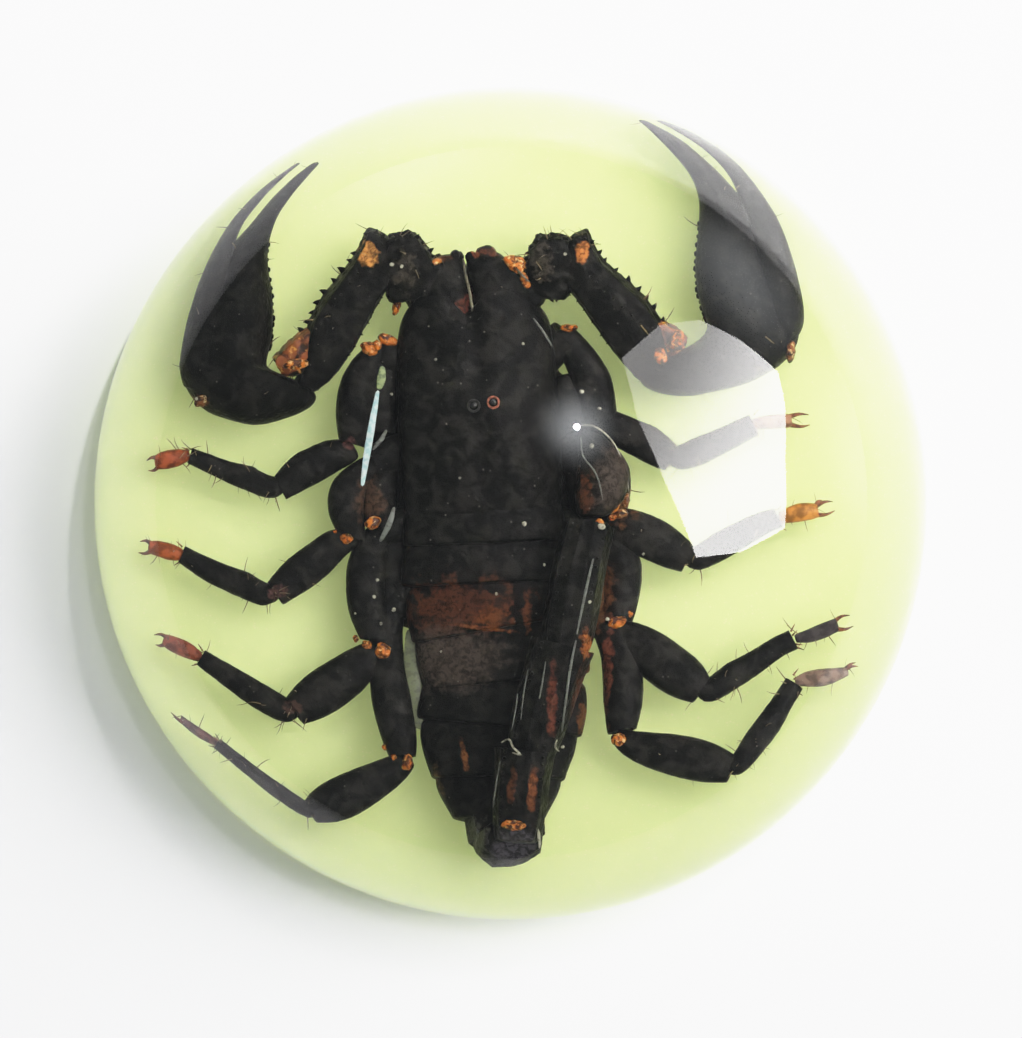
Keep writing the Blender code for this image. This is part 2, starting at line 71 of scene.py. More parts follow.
# The carapace's furrows: (start, end, points, depth, reach).
FURROWS = [
    ((-3.7, 15.8, 13.6), (-2.9, 11.0, 14.5), 8, 0.6, 1.2),
    ((-2.8, 6.6, 14.7), (-2.6, 0.6, 14.2), 8, 0.45, 1.1),
    ((-3.4, 2.4, 14.4), (-7.0, 0.4, 13.7), 6, 0.35, 1.1),
    ((-1.8, 2.4, 14.4), (1.8, 0.4, 13.7), 6, 0.35, 1.1),
    ((-6.4, 12.8, 13.9), (-7.8, 7.6, 13.9), 6, 0.35, 1.4),
    ((0.6, 12.8, 13.9), (2.0, 7.6, 13.9), 6, 0.35, 1.4),
]
# The eyes: (x, y), and the colours of the rim.
EYES = {
    "right_eye": ((-1.6, 9.0), (0.42, 0.13, 0.07), (0.15, 0.045, 0.03)),
    "left_eye": ((-3.35, 8.7), (0.04, 0.038, 0.036), (0.014, 0.013, 0.012)),
}
CHELICERAE = {
    "left_chelicera": [
        (14.2, -7.6, -3.1, 8.6, 12.0), (16.8, -8.0, -3.2, 8.0, 12.6), (19.3, -8.1, -3.6, 8.0, 12.5),
        (20.9, -7.6, -3.9, 8.2, 12.1), (21.8, -6.7, -4.2, 8.7, 11.5), (22.2, -5.8, -4.45, 9.3, 10.9),
    ],
    "right_chelicera": [
        (14.2, -3.3, 1.4, 8.6, 12.0), (16.8, -3.45, 2.2, 8.0, 12.6), (19.3, -3.75, 1.9, 8.0, 12.5),
        (20.7, -4.0, 0.5, 8.2, 12.1), (21.7, -4.05, -0.7, 8.7, 11.6), (22.2, -3.9, -1.3, 9.3, 11.0),
    ],
}
# Knobs at the tips of the chelicerae: (x, y, z, size across, size along, size up).
JAW_KNOBS = {
    "left_chelicera": [(-5.0, 22.2, 10.9, 0.9, 1.0, 1.1), (-4.55, 21.9, 10.4, 0.7, 1.2, 1.4)],
    "right_chelicera": [(-2.2, 22.25, 10.7, 2.0, 1.7, 1.9), (-3.5, 21.9, 10.4, 1.3, 1.2, 1.4)],
}
# The row of teeth where the chelicerae meet: the side of each one, the places along it, and the height.
TEETH_SIDES = {"left_chelicera": -4.2, "right_chelicera": -3.7}
TEETH_ROW = (20.6, 20.0, 19.4, 18.8)
TEETH_HEIGHT = 11.6
# The field of hip plates between the legs.
HIP_FIELD = [
    (15.4, -9.4, 3.6, 7.0, 9.0), (13.0, -10.3, 4.1, 6.7, 9.3), (10.6, -10.6, 4.3, 6.5, 9.4),
    (9.4, -11.9, 7.2, 6.4, 9.5), (4.0, -12.6, 8.6, 6.4, 9.5), (-2.0, -12.2, 7.6, 6.4, 9.5),
    (-7.0, -11.2, 8.0, 6.6, 9.4), (-11.0, -9.8, 7.8, 7.0, 9.2),
]
# Tergites are (rear y, left, right, top).
TERGITES = [
    (-3.6, -9.6, 5.0, 13.7), (-7.2, -9.8, 5.6, 13.5), (-11.2, -9.0, 6.7, 13.2), (-16.0, -7.9, 7.1, 12.8),
    (-20.1, -8.5, 6.4, 12.6), (-24.8, -7.2, 4.9, 12.4), (-28.5, -5.4, 3.2, 12.0),
]
CLAWS = {
    "left_palp": {
        "hand": [
            (7.4, -27.0, -23.4, 8.2, 11.2), (8.0, -28.6, -21.6, 7.2, 12.3),
            (8.9, -29.6, -19.8, 6.6, 12.9), (9.8, -30.3, -18.2, 6.2, 13.3),
            (10.7, -30.6, -17.2, 6.0, 13.4), (11.6, -30.4, -17.1, 6.0, 13.4),
            (12.4, -29.9, -18.6, 6.0, 13.5), (13.0, -29.3, -21.4, 6.0, 13.6),
            (13.7, -28.9, -21.8, 6.0, 13.7), (15.5, -28.4, -21.4, 6.0, 13.6),
            (19.0, -27.6, -21.3, 6.3, 13.2), (22.5, -26.4, -22.1, 6.8, 12.4),
            (25.4, -24.0, -21.9, 7.4, 11.4), (27.8, -22.4, -20.8, 7.9, 10.6),
            (30.0, -20.5, -19.2, 8.4, 9.9), (31.9, -18.4, -17.7, 8.8, 9.4),
        ],
        "finger": [
            (10.2, -29.8, -28.2, 8.6, 11.2), (11.8, -30.4, -27.4, 7.9, 12.0),
            (15.3, -30.1, -26.2, 7.6, 12.2), (20.4, -28.9, -25.7, 7.7, 11.9),
            (25.4, -26.9, -25.4, 8.1, 11.0), (28.8, -24.5, -23.4, 8.5, 10.4),
            (30.9, -22.3, -21.5, 8.8, 9.9), (32.3, -20.3, -19.9, 9.0, 9.5),
        ],
    },
    "right_palp": {
        "hand": [
            (9.9, 16.0, 20.8, 8.0, 11.4), (10.7, 13.4, 23.6, 6.8, 12.8), (11.8, 11.6, 25.4, 6.2, 13.4),
            (13.0, 11.2, 26.2, 6.0, 13.6), (14.1, 12.6, 26.2, 6.0, 13.6), (15.0, 15.8, 25.8, 6.0, 13.7),
            (16.4, 17.6, 25.0, 6.0, 13.7), (18.6, 16.8, 24.5, 6.1, 13.5), (22.0, 16.4, 23.2, 6.4, 13.0),
            (26.0, 17.0, 22.4, 7.0, 12.2), (28.5, 17.1, 20.9, 7.5, 11.4), (30.5, 16.5, 19.4, 7.9, 10.8),
            (32.3, 15.3, 17.9, 8.3, 10.2), (34.2, 13.9, 16.2, 8.6, 9.8), (35.6, 12.9, 14.4, 8.8, 9.6),
            (36.7, 12.0, 12.8, 8.9, 9.4),
        ],
        "finger": [
            (14.6, 24.4, 26.0, 8.6, 11.2), (16.2, 23.6, 26.9, 7.9, 12.0), (20.4, 22.9, 26.4, 7.6, 12.2),
            (25.0, 22.0, 25.4, 7.8, 11.8), (28.0, 21.3, 24.2, 8.0, 11.3), (31.0, 20.5, 22.8, 8.3, 10.7),
            (33.5, 19.0, 21.3, 8.5, 10.2), (35.3, 17.2, 19.5, 8.7, 9.9), (36.6, 15.4, 17.4, 8.9, 9.6),
            (37.4, 13.9, 14.9, 9.0, 9.4),
        ],
    },
}
# Stations along a limb are (x, y, z, width, depth).
ARMS = {
    "left_palp": {
        "trochanter": [
            (-5.9, 16.6, 9.6, 3.8, 4.0), (-7.3, 18.6, 10.0, 4.4, 4.4), (-7.8, 21.2, 10.2, 4.0, 4.2),
        ],
        "femur": [
            (-9.0, 19.5, 10.1, 4.8, 4.4), (-9.2, 20.8, 10.2, 5.2, 4.8), (-9.5, 22.2, 10.3, 4.6, 4.6),
            (-9.8, 23.3, 10.3, 3.6, 4.2), (-10.1, 24.1, 10.3, 2.4, 3.4),
        ],
        "patella": [
            (-12.0, 23.8, 10.3, 2.6, 3.6), (-12.0, 21.8, 10.3, 4.1, 4.6), (-13.2, 19.8, 10.3, 4.3, 5.0),
            (-14.4, 18.1, 10.2, 4.7, 5.2), (-15.5, 16.2, 10.2, 5.0, 5.2), (-16.3, 14.5, 10.2, 4.7, 5.2),
            (-16.8, 12.9, 10.1, 3.7, 5.0), (-17.4, 11.4, 10.0, 2.9, 4.6), (-18.5, 10.3, 10.0, 2.0, 4.0),
        ],
        "wrist": [
            (-17.0, 14.0, 10.1, 4.2, 4.0), (-19.2, 13.0, 10.0, 3.4, 3.8), (-20.9, 12.1, 9.9, 1.9, 3.4),
        ],
    },
    "right_palp": {
        "trochanter": [
            (-0.4, 17.0, 9.6, 3.6, 4.0), (1.2, 18.8, 9.9, 4.0, 4.2), (1.8, 21.0, 10.1, 3.6, 3.8),
        ],
        "femur": [
            (3.4, 19.4, 10.1, 4.2, 4.4), (3.5, 20.8, 10.2, 4.7, 4.8), (3.6, 22.1, 10.3, 4.4, 4.7),
            (3.7, 23.1, 10.3, 3.6, 4.2), (3.8, 23.9, 10.3, 2.8, 3.4),
        ],
        "patella": [
            (6.0, 23.5, 10.3, 2.6, 3.4), (6.0, 21.6, 10.3, 3.8, 4.4), (7.0, 20.0, 10.3, 4.3, 4.8),
            (8.5, 18.7, 10.3, 4.9, 5.0), (10.1, 16.5, 10.2, 5.4, 5.2), (11.4, 14.7, 10.2, 5.2, 5.2),
            (12.3, 12.9, 10.1, 4.4, 5.0), (12.9, 11.6, 10.0, 3.4, 4.6),
        ],
        "wrist": [
            (12.0, 14.8, 10.1, 3.6, 4.0), (13.9, 14.2, 10.0, 3.5, 4.2), (15.4, 13.6, 9.9, 2.4, 3.6),
        ],
    },
}
# Keels are (angle round the limb, factor), with 90 degrees at the top.
ARM_KEELS = ((45.0, 1.07), (135.0, 1.07), (-45.0, 1.05), (-135.0, 1.05))
# Where spines stand on the arms, as lines of points with a count and a size.
SPINES = {
    "left_palp": [
        (
            [
                (-18.9, 15.6, 10.2), (-18.1, 17.2, 10.2), (-16.9, 19.1, 10.2), (-15.2, 20.9, 10.3),
                (-13.6, 22.2, 10.3),
            ],
            9, 0.78,
        ),
        ([(-18.0, 14.9, 12.0), (-16.0, 17.9, 12.4), (-13.4, 21.4, 12.2)], 9, 0.42),
        ([(-11.9, 18.6, 11.4), (-12.9, 16.2, 11.6), (-14.6, 13.2, 11.6)], 7, 0.38),
        (
            [
                (-10.8, 24.3, 11.4), (-10.2, 24.5, 11.8), (-9.0, 23.8, 11.6), (-8.4, 22.8, 11.2),
                (-7.6, 21.8, 11.0),
            ],
            8, 0.66,
        ),
        ([(-13.0, 24.3, 11.2), (-11.8, 24.7, 11.6), (-11.0, 23.8, 12.0)], 4, 0.6),
        ([(-9.9, 23.2, 12.4), (-9.1, 21.2, 12.6)], 4, 0.45),
        ([(-11.3, 22.6, 11.2), (-11.3, 19.9, 10.8), (-10.3, 18.7, 10.4)], 5, 0.45),
    ],
    "right_palp": [
        (
            [
                (7.4, 22.2, 10.3), (9.6, 21.0, 10.3), (11.6, 19.4, 10.3), (13.0, 17.6, 10.3),
                (14.0, 15.6, 10.2),
            ],
            9, 0.66,
        ),
        ([(7.2, 20.4, 12.4), (9.6, 18.0, 12.6), (12.2, 15.4, 12.4)], 8, 0.4),
        ([(4.8, 19.0, 10.6), (6.4, 17.2, 11.2), (9.0, 14.4, 11.4)], 7, 0.38),
        ([(1.2, 22.0, 11.0), (2.0, 23.2, 11.4), (3.4, 24.2, 11.8), (4.7, 24.1, 11.4)], 8, 0.62),
        ([(5.0, 23.7, 11.2), (6.2, 23.8, 11.6), (7.2, 23.5, 11.2)], 4, 0.5),
        ([(3.4, 23.0, 12.4), (2.6, 20.6, 12.6)], 4, 0.45),
        ([(4.9, 22.4, 11.2), (4.5, 19.6, 10.8), (3.6, 18.2, 10.4)], 5, 0.5),
    ],
}
# The granular inner edge of each claw.
CLAW_EDGES = {
    "left_palp": [(-22.2, 23.6, 10.2), (-21.6, 19.4, 10.1), (-21.4, 16.0, 10.0), (-21.6, 13.8, 9.9)],
    "right_palp": [(16.9, 25.4, 10.2), (16.7, 21.7, 10.1), (17.2, 18.6, 10.0), (18.0, 16.4, 9.9)],
}
# Stations of the tail are (x, y, z, width, depth).
TAIL = {
    "segment_1": [
        (-1.3, -24.0, 9.2, 6.6, 5.6), (-0.9, -26.4, 9.3, 6.8, 5.7), (-0.6, -28.6, 9.5, 6.9, 5.8),
        (-0.4, -30.6, 10.0, 6.8, 5.4),
    ],
    "segment_2": [
        (-0.3, -30.4, 10.2, 6.4, 5.0), (-0.1, -31.6, 12.4, 6.1, 4.9), (0.2, -31.3, 14.4, 5.4, 4.8),
    ],
    "segment_3": [
        (0.6, -30.7, 15.0, 4.4, 4.2), (0.8, -28.4, 15.6, 4.9, 4.6), (1.0, -25.6, 15.9, 5.0, 4.8),
        (1.3, -22.7, 16.0, 5.5, 5.0),
    ],
    "segment_4": [
        (2.1, -21.9, 16.2, 4.7, 4.4), (2.8, -19.2, 16.5, 5.2, 4.7), (3.7, -16.2, 16.6, 5.3, 4.8),
        (4.7, -12.9, 16.5, 5.8, 4.9),
    ],
    "segment_5": [
        (5.1, -12.2, 16.2, 4.6, 4.3), (5.6, -9.2, 16.0, 4.8, 4.4), (6.2, -5.6, 15.4, 4.7, 4.3),
        (7.1, -1.9, 14.6, 4.4, 4.2),
    ],
}
TAIL_KEELS = (
    (45.0, 1.12), (135.0, 1.12), (75.0, 1.05), (105.0, 1.05), (60.0, 0.97), (90.0, 0.95), (120.0, 0.97),
    (-45.0, 1.08), (-135.0, 1.08), (0.0, 1.03), (180.0, 1.03),
)
# Rows of grains on the tail's keels: (part, shift to the side).
TAIL_GRAINS = (
    ("segment_4", 1.9), ("segment_4", -1.9), ("segment_5", 1.6), ("segment_5", -1.6),
    ("segment_3", 1.8), ("segment_3", -1.8),
)
VESICLE = [
    (7.4, -1.4, 14.3, 2.6, 2.6), (7.9, 0.0, 14.0, 4.3, 3.7), (8.2, 1.8, 13.7, 4.9, 4.2),
    (8.1, 3.8, 13.6, 4.3, 3.8), (7.5, 5.4, 13.8, 2.8, 2.6), (6.9, 6.3, 14.1, 1.5, 1.5),
]
STING = [(6.9, 6.2, 14.1, 1.2), (6.0, 6.6, 14.2, 0.8), (5.0, 6.2, 14.3, 0.45), (4.4, 5.4, 14.3, 0.12)]
# A leg's stations are (x, y, width); the hip is where it leaves the body, the shin's first part ends
# at its third station, and claws are the tips of the thin hooks on the foot.
LEGS = {
    "left_leg_1": {
        "hip": (-7.6, 11.4), "trochanter": [(-10.8, 12.6, 2.6), (-11.3, 9.4, 3.0), (-11.5, 6.2, 2.6)],
        "femur": [
            (-11.6, 13.4, 2.8), (-13.0, 11.2, 3.6), (-13.6, 8.6, 3.9), (-13.8, 6.6, 3.5),
            (-14.0, 5.2, 2.6),
        ],
        "patella": [
            (-14.4, 4.6, 2.3), (-15.8, 4.2, 2.9), (-17.1, 3.5, 3.1), (-18.2, 3.0, 3.2), (-19.4, 2.2, 2.9),
            (-20.5, 1.3, 2.3),
        ],
        "shin": [
            (-20.9, 1.3, 1.9), (-21.9, 1.5, 2.0), (-23.4, 2.2, 2.2), (-25.3, 2.8, 1.8), (-27.2, 3.6, 1.6),
            (-28.7, 4.2, 1.4),
        ],
        "foot": [(-29.0, 4.2, 1.1), (-30.0, 4.0, 1.6), (-31.2, 3.8, 1.6), (-32.0, 3.6, 1.2)],
        "claws": [(-32.8, 3.8), (-32.6, 2.9)], "tone": (0.46, 0.10, 0.035),
    },
    "left_leg_2": {
        "hip": (-7.8, 5.4), "trochanter": [(-11.2, 3.2, 2.8), (-11.6, 0.4, 3.4), (-11.8, -2.0, 2.8)],
        "femur": [
            (-12.3, 3.4, 2.6), (-14.0, 1.8, 3.2), (-14.6, 0.0, 3.4), (-14.5, -1.8, 3.3),
            (-14.0, -3.2, 2.6),
        ],
        "patella": [
            (-14.2, -3.1, 2.0), (-15.5, -3.6, 2.7), (-16.8, -4.8, 3.1), (-18.4, -6.0, 3.3),
            (-19.7, -7.0, 3.0), (-21.0, -8.1, 2.4),
        ],
        "shin": [
            (-21.4, -8.2, 1.9), (-22.2, -8.1, 2.1), (-23.8, -7.3, 2.4), (-25.1, -6.8, 2.2),
            (-26.8, -6.1, 2.1), (-28.3, -5.3, 1.8), (-29.5, -4.6, 1.6),
        ],
        "foot": [(-29.7, -4.6, 1.2), (-30.6, -4.4, 1.5), (-31.8, -4.1, 1.4), (-32.7, -4.0, 1.1)],
        "claws": [(-33.5, -3.5), (-33.7, -4.5)], "tone": (0.52, 0.12, 0.035),
    },
    "left_leg_3": {
        "hip": (-7.4, -1.2), "trochanter": [(-10.4, -3.4, 2.4), (-10.7, -6.2, 2.6), (-10.9, -8.8, 2.0)],
        "femur": [
            (-11.6, -2.6, 2.8), (-12.6, -4.9, 3.5), (-12.8, -7.4, 3.6), (-12.6, -9.8, 3.6),
            (-12.0, -12.2, 2.8),
        ],
        "patella": [
            (-11.6, -13.2, 2.2), (-12.8, -13.9, 3.0), (-14.3, -15.2, 3.8), (-16.2, -16.5, 4.1),
            (-17.8, -17.6, 3.9), (-19.4, -18.7, 2.8),
        ],
        "shin": [
            (-19.8, -18.8, 2.0), (-20.7, -18.4, 2.3), (-22.5, -17.4, 2.4), (-24.8, -15.9, 2.1),
            (-26.7, -14.7, 1.8), (-27.9, -13.9, 1.6),
        ],
        "foot": [(-28.1, -13.8, 1.0), (-29.1, -13.3, 1.5), (-30.4, -12.8, 1.5), (-31.5, -12.4, 1.1)],
        "claws": [(-32.4, -12.0), (-32.3, -12.9)], "tone": (0.36, 0.09, 0.045),
    },
    "left_leg_4": {
        "hip": (-6.6, -6.4), "trochanter": [(-8.6, -6.4, 2.6), (-9.6, -8.0, 2.6), (-10.4, -9.8, 2.4)],
        "femur": [
            (-10.2, -8.2, 2.6), (-11.1, -11.0, 2.9), (-11.0, -14.0, 3.1), (-10.6, -17.5, 3.7),
            (-10.0, -20.8, 3.2), (-9.7, -22.7, 2.4),
        ],
        "patella": [
            (-9.4, -23.2, 2.0), (-10.7, -24.1, 2.8), (-12.9, -25.4, 3.6), (-15.2, -26.7, 4.1),
            (-17.1, -27.7, 3.6), (-18.4, -28.4, 2.3),
        ],
        "shin": [
            (-18.6, -28.2, 1.5), (-19.6, -27.6, 1.6), (-21.4, -26.3, 1.6), (-23.2, -24.9, 1.4),
            (-25.2, -23.3, 1.3), (-26.9, -22.0, 1.2),
        ],
        "foot": [(-27.0, -21.9, 0.7), (-28.0, -21.4, 1.0), (-29.3, -20.7, 1.0), (-30.5, -19.9, 0.8)],
        "claws": [(-31.5, -19.4), (-31.2, -19.8)], "tone": (0.16, 0.060, 0.045),
    },
    "right_leg_1": {
        "hip": (2.0, 12.0), "trochanter": [(4.8, 10.6, 2.4), (5.2, 8.6, 2.8), (5.6, 6.4, 2.6)],
        "femur": [(4.8, 14.8, 2.2), (6.0, 13.0, 2.9), (7.1, 10.9, 3.4), (7.6, 9.2, 3.3), (8.0, 7.0, 3.0)],
        "patella": [
            (8.0, 7.0, 2.8), (9.4, 6.5, 2.9), (10.6, 5.9, 3.0), (12.0, 5.3, 3.2), (13.1, 4.6, 3.0),
            (14.2, 3.9, 2.4),
        ],
        "shin": [
            (14.5, 3.9, 1.9), (15.1, 4.0, 2.2), (16.5, 4.5, 2.5), (18.5, 5.4, 2.2), (20.3, 6.3, 2.1),
            (21.5, 6.9, 2.0),
        ],
        "foot": [(21.6, 7.0, 1.0), (22.6, 7.1, 1.2), (23.8, 7.2, 1.3), (24.9, 7.3, 1.1)],
        "claws": [(26.4, 7.8), (26.5, 6.9)], "tone": (0.34, 0.17, 0.09),
    },
    "right_leg_2": {
        "hip": (2.4, 5.4), "trochanter": [(5.8, 4.6, 2.8), (6.4, 1.6, 3.2), (6.9, -1.4, 2.8)],
        "femur": [(7.0, 5.2, 2.6), (8.6, 3.4, 3.2), (9.0, 1.6, 3.3), (9.0, -0.2, 3.1), (8.9, -1.6, 2.6)],
        "patella": [
            (9.0, -1.6, 2.6), (10.0, -2.2, 3.6), (11.5, -2.8, 3.8), (13.1, -3.5, 3.7), (14.4, -4.3, 3.3),
            (15.7, -5.0, 2.5),
        ],
        "shin": [
            (16.0, -5.0, 2.0), (16.8, -4.8, 2.2), (18.4, -3.9, 2.5), (20.4, -2.8, 2.3), (22.1, -1.9, 2.1),
            (23.7, -1.3, 1.8),
        ],
        "foot": [(24.0, -1.3, 1.0), (25.0, -1.0, 1.5), (26.1, -0.8, 1.6), (27.3, -0.7, 1.2)],
        "claws": [(28.6, 0.1), (28.8, -0.7), (27.6, 0.2)], "tone": (0.60, 0.24, 0.05),
    },
    "right_leg_3": {
        "hip": (2.8, -1.2), "trochanter": [(6.4, -3.0, 2.6), (7.2, -6.0, 2.8), (7.7, -9.2, 2.4)],
        "femur": [
            (8.2, -3.0, 2.8), (9.7, -5.0, 3.5), (9.8, -7.4, 3.5), (9.6, -9.2, 3.3), (9.4, -10.8, 2.8),
        ],
        "patella": [
            (9.6, -11.4, 2.4), (11.0, -12.3, 3.4), (12.6, -13.5, 4.1), (14.4, -14.9, 4.2),
            (15.9, -15.9, 3.8), (17.0, -16.8, 2.6),
        ],
        "shin": [
            (17.3, -16.9, 2.0), (18.2, -16.5, 2.2), (19.9, -15.3, 2.4), (21.8, -14.2, 2.1),
            (23.7, -12.9, 1.9), (25.2, -12.2, 1.9),
        ],
        "foot": [(25.6, -12.1, 0.9), (26.6, -11.9, 1.2), (27.8, -11.5, 1.4), (29.3, -10.9, 1.2)],
        "claws": [(30.4, -10.1), (30.8, -11.1)], "tone": (0.06, 0.052, 0.05),
    },
    "right_leg_4": {
        "hip": (3.2, -7.0), "trochanter": [(5.6, -7.6, 2.6), (7.2, -9.4, 2.6), (8.4, -11.2, 2.6)],
        "femur": [
            (8.0, -9.8, 2.8), (9.6, -12.9, 3.4), (9.9, -15.4, 3.6), (10.0, -18.0, 3.5), (9.9, -20.4, 2.6),
        ],
        "patella": [
            (9.8, -21.1, 2.0), (11.0, -21.7, 2.6), (12.9, -22.2, 3.4), (15.4, -22.8, 3.9),
            (17.9, -23.5, 3.8), (20.0, -24.2, 2.6),
        ],
        "shin": [
            (20.3, -24.0, 1.9), (21.0, -23.2, 2.1), (22.1, -21.5, 2.4), (23.3, -19.8, 2.4),
            (24.4, -17.9, 2.0), (25.4, -16.2, 1.9),
        ],
        "foot": [(25.7, -16.0, 0.9), (26.8, -15.8, 1.5), (28.6, -15.7, 1.6), (30.6, -15.3, 0.8)],
        "claws": [(31.6, -14.9), (31.3, -14.5)], "tone": (0.30, 0.20, 0.15),
    },
}
# For each part of a leg: its height at both ends and its depth against its width.
LEG_PARTS = {
    "coxa": (8.2, 9.0, 1.0), "trochanter": (8.6, 9.0, 1.0), "femur": (9.0, 9.4, 0.85),
    "patella": (9.4, 9.2, 0.7), "tibia": (9.1, 8.7, 0.8), "basitarsus": (8.6, 7.9, 0.85),
    "foot": (7.8, 7.4, 0.8),
}
COXA_WIDTH = 3.4
# Soft skin and knobs at the joints: (x, y, z, size across, size along, size up, turn in degrees).
JOINT_SKINS = {
    "left_legs": [
        (-12.6, 13.7, 10.1, 1.7, 1.1, 1.0, -30.0), (-11.9, 14.0, 10.3, 0.8, 0.9, 0.8, 20.0),
        (-11.0, 14.5, 10.1, 1.9, 0.9, 1.0, -20.0), (-12.3, -1.8, 10.7, 1.5, 1.0, 0.9, 25.0),
        (-14.6, -3.2, 10.3, 1.1, 1.0, 0.8, 30.0), (-15.6, -2.8, 9.8, 0.5, 0.7, 0.5, 0.0),
        (-11.4, -13.2, 10.4, 1.4, 1.5, 1.0, 0.0), (-12.8, -12.7, 10.0, 0.8, 1.0, 0.7, 40.0),
        (-13.8, -12.1, 9.7, 0.5, 0.7, 0.5, 0.0), (-9.3, -23.3, 10.2, 1.0, 1.6, 1.0, -15.0),
        (-10.5, -22.9, 9.9, 0.5, 1.0, 0.6, 10.0), (-11.3, -21.9, 9.6, 0.5, 0.6, 0.5, 0.0),
    ],
    "right_legs": [
        (5.2, 15.5, 10.0, 1.5, 0.7, 0.8, 0.0), (9.0, -1.3, 10.6, 0.9, 0.6, 0.7, 20.0),
        (9.4, -10.6, 10.4, 1.7, 1.0, 0.9, 20.0), (8.7, -11.5, 10.0, 0.7, 1.0, 0.7, 0.0),
        (10.4, -9.9, 10.1, 0.8, 0.8, 0.7, 0.0), (9.6, -21.2, 10.0, 1.4, 1.1, 0.9, -10.0),
    ],
    "arms": [
        (-12.8, 22.7, 10.6, 1.2, 1.9, 2.6, -14.0), (-19.5, 12.5, 12.6, 2.4, 0.9, 1.0, 4.0),
        (0.6, 21.3, 11.3, 2.6, 1.5, 1.8, -35.0), (1.2, 20.0, 11.6, 1.0, 2.0, 1.4, 20.0),
        (-7.0, 21.5, 11.2, 1.8, 0.7, 1.2, 15.0), (-8.0, 20.9, 11.6, 0.6, 1.3, 1.0, 10.0),
        (6.7, 22.3, 10.8, 0.7, 1.6, 2.2, 25.0), (13.5, 13.2, 13.2, 1.1, 1.6, 0.9, 20.0),
        (15.0, 14.7, 12.9, 1.1, 2.0, 1.0, -35.0), (-10.2, 17.6, 10.4, 0.7, 1.9, 1.4, -12.0),
    ],
    "knobs": [
        (9.7, -1.0, 10.5, 1.5, 0.8, 0.9, 20.0), (10.2, 0.2, 10.1, 0.6, 1.3, 0.7, -10.0),
        (-28.5, 9.3, 12.3, 1.3, 1.1, 0.7, 30.0), (25.5, 13.8, 11.4, 0.8, 2.2, 1.4, -8.0),
    ],
    "tail": [
        (0.2, -30.5, 17.2, 2.3, 1.1, 0.9, -5.0), (7.9, -2.2, 15.9, 0.9, 1.5, 0.9, -10.0),
        (8.9, 0.0, 12.6, 2.0, 1.8, 1.6, 0.0),
    ],
}
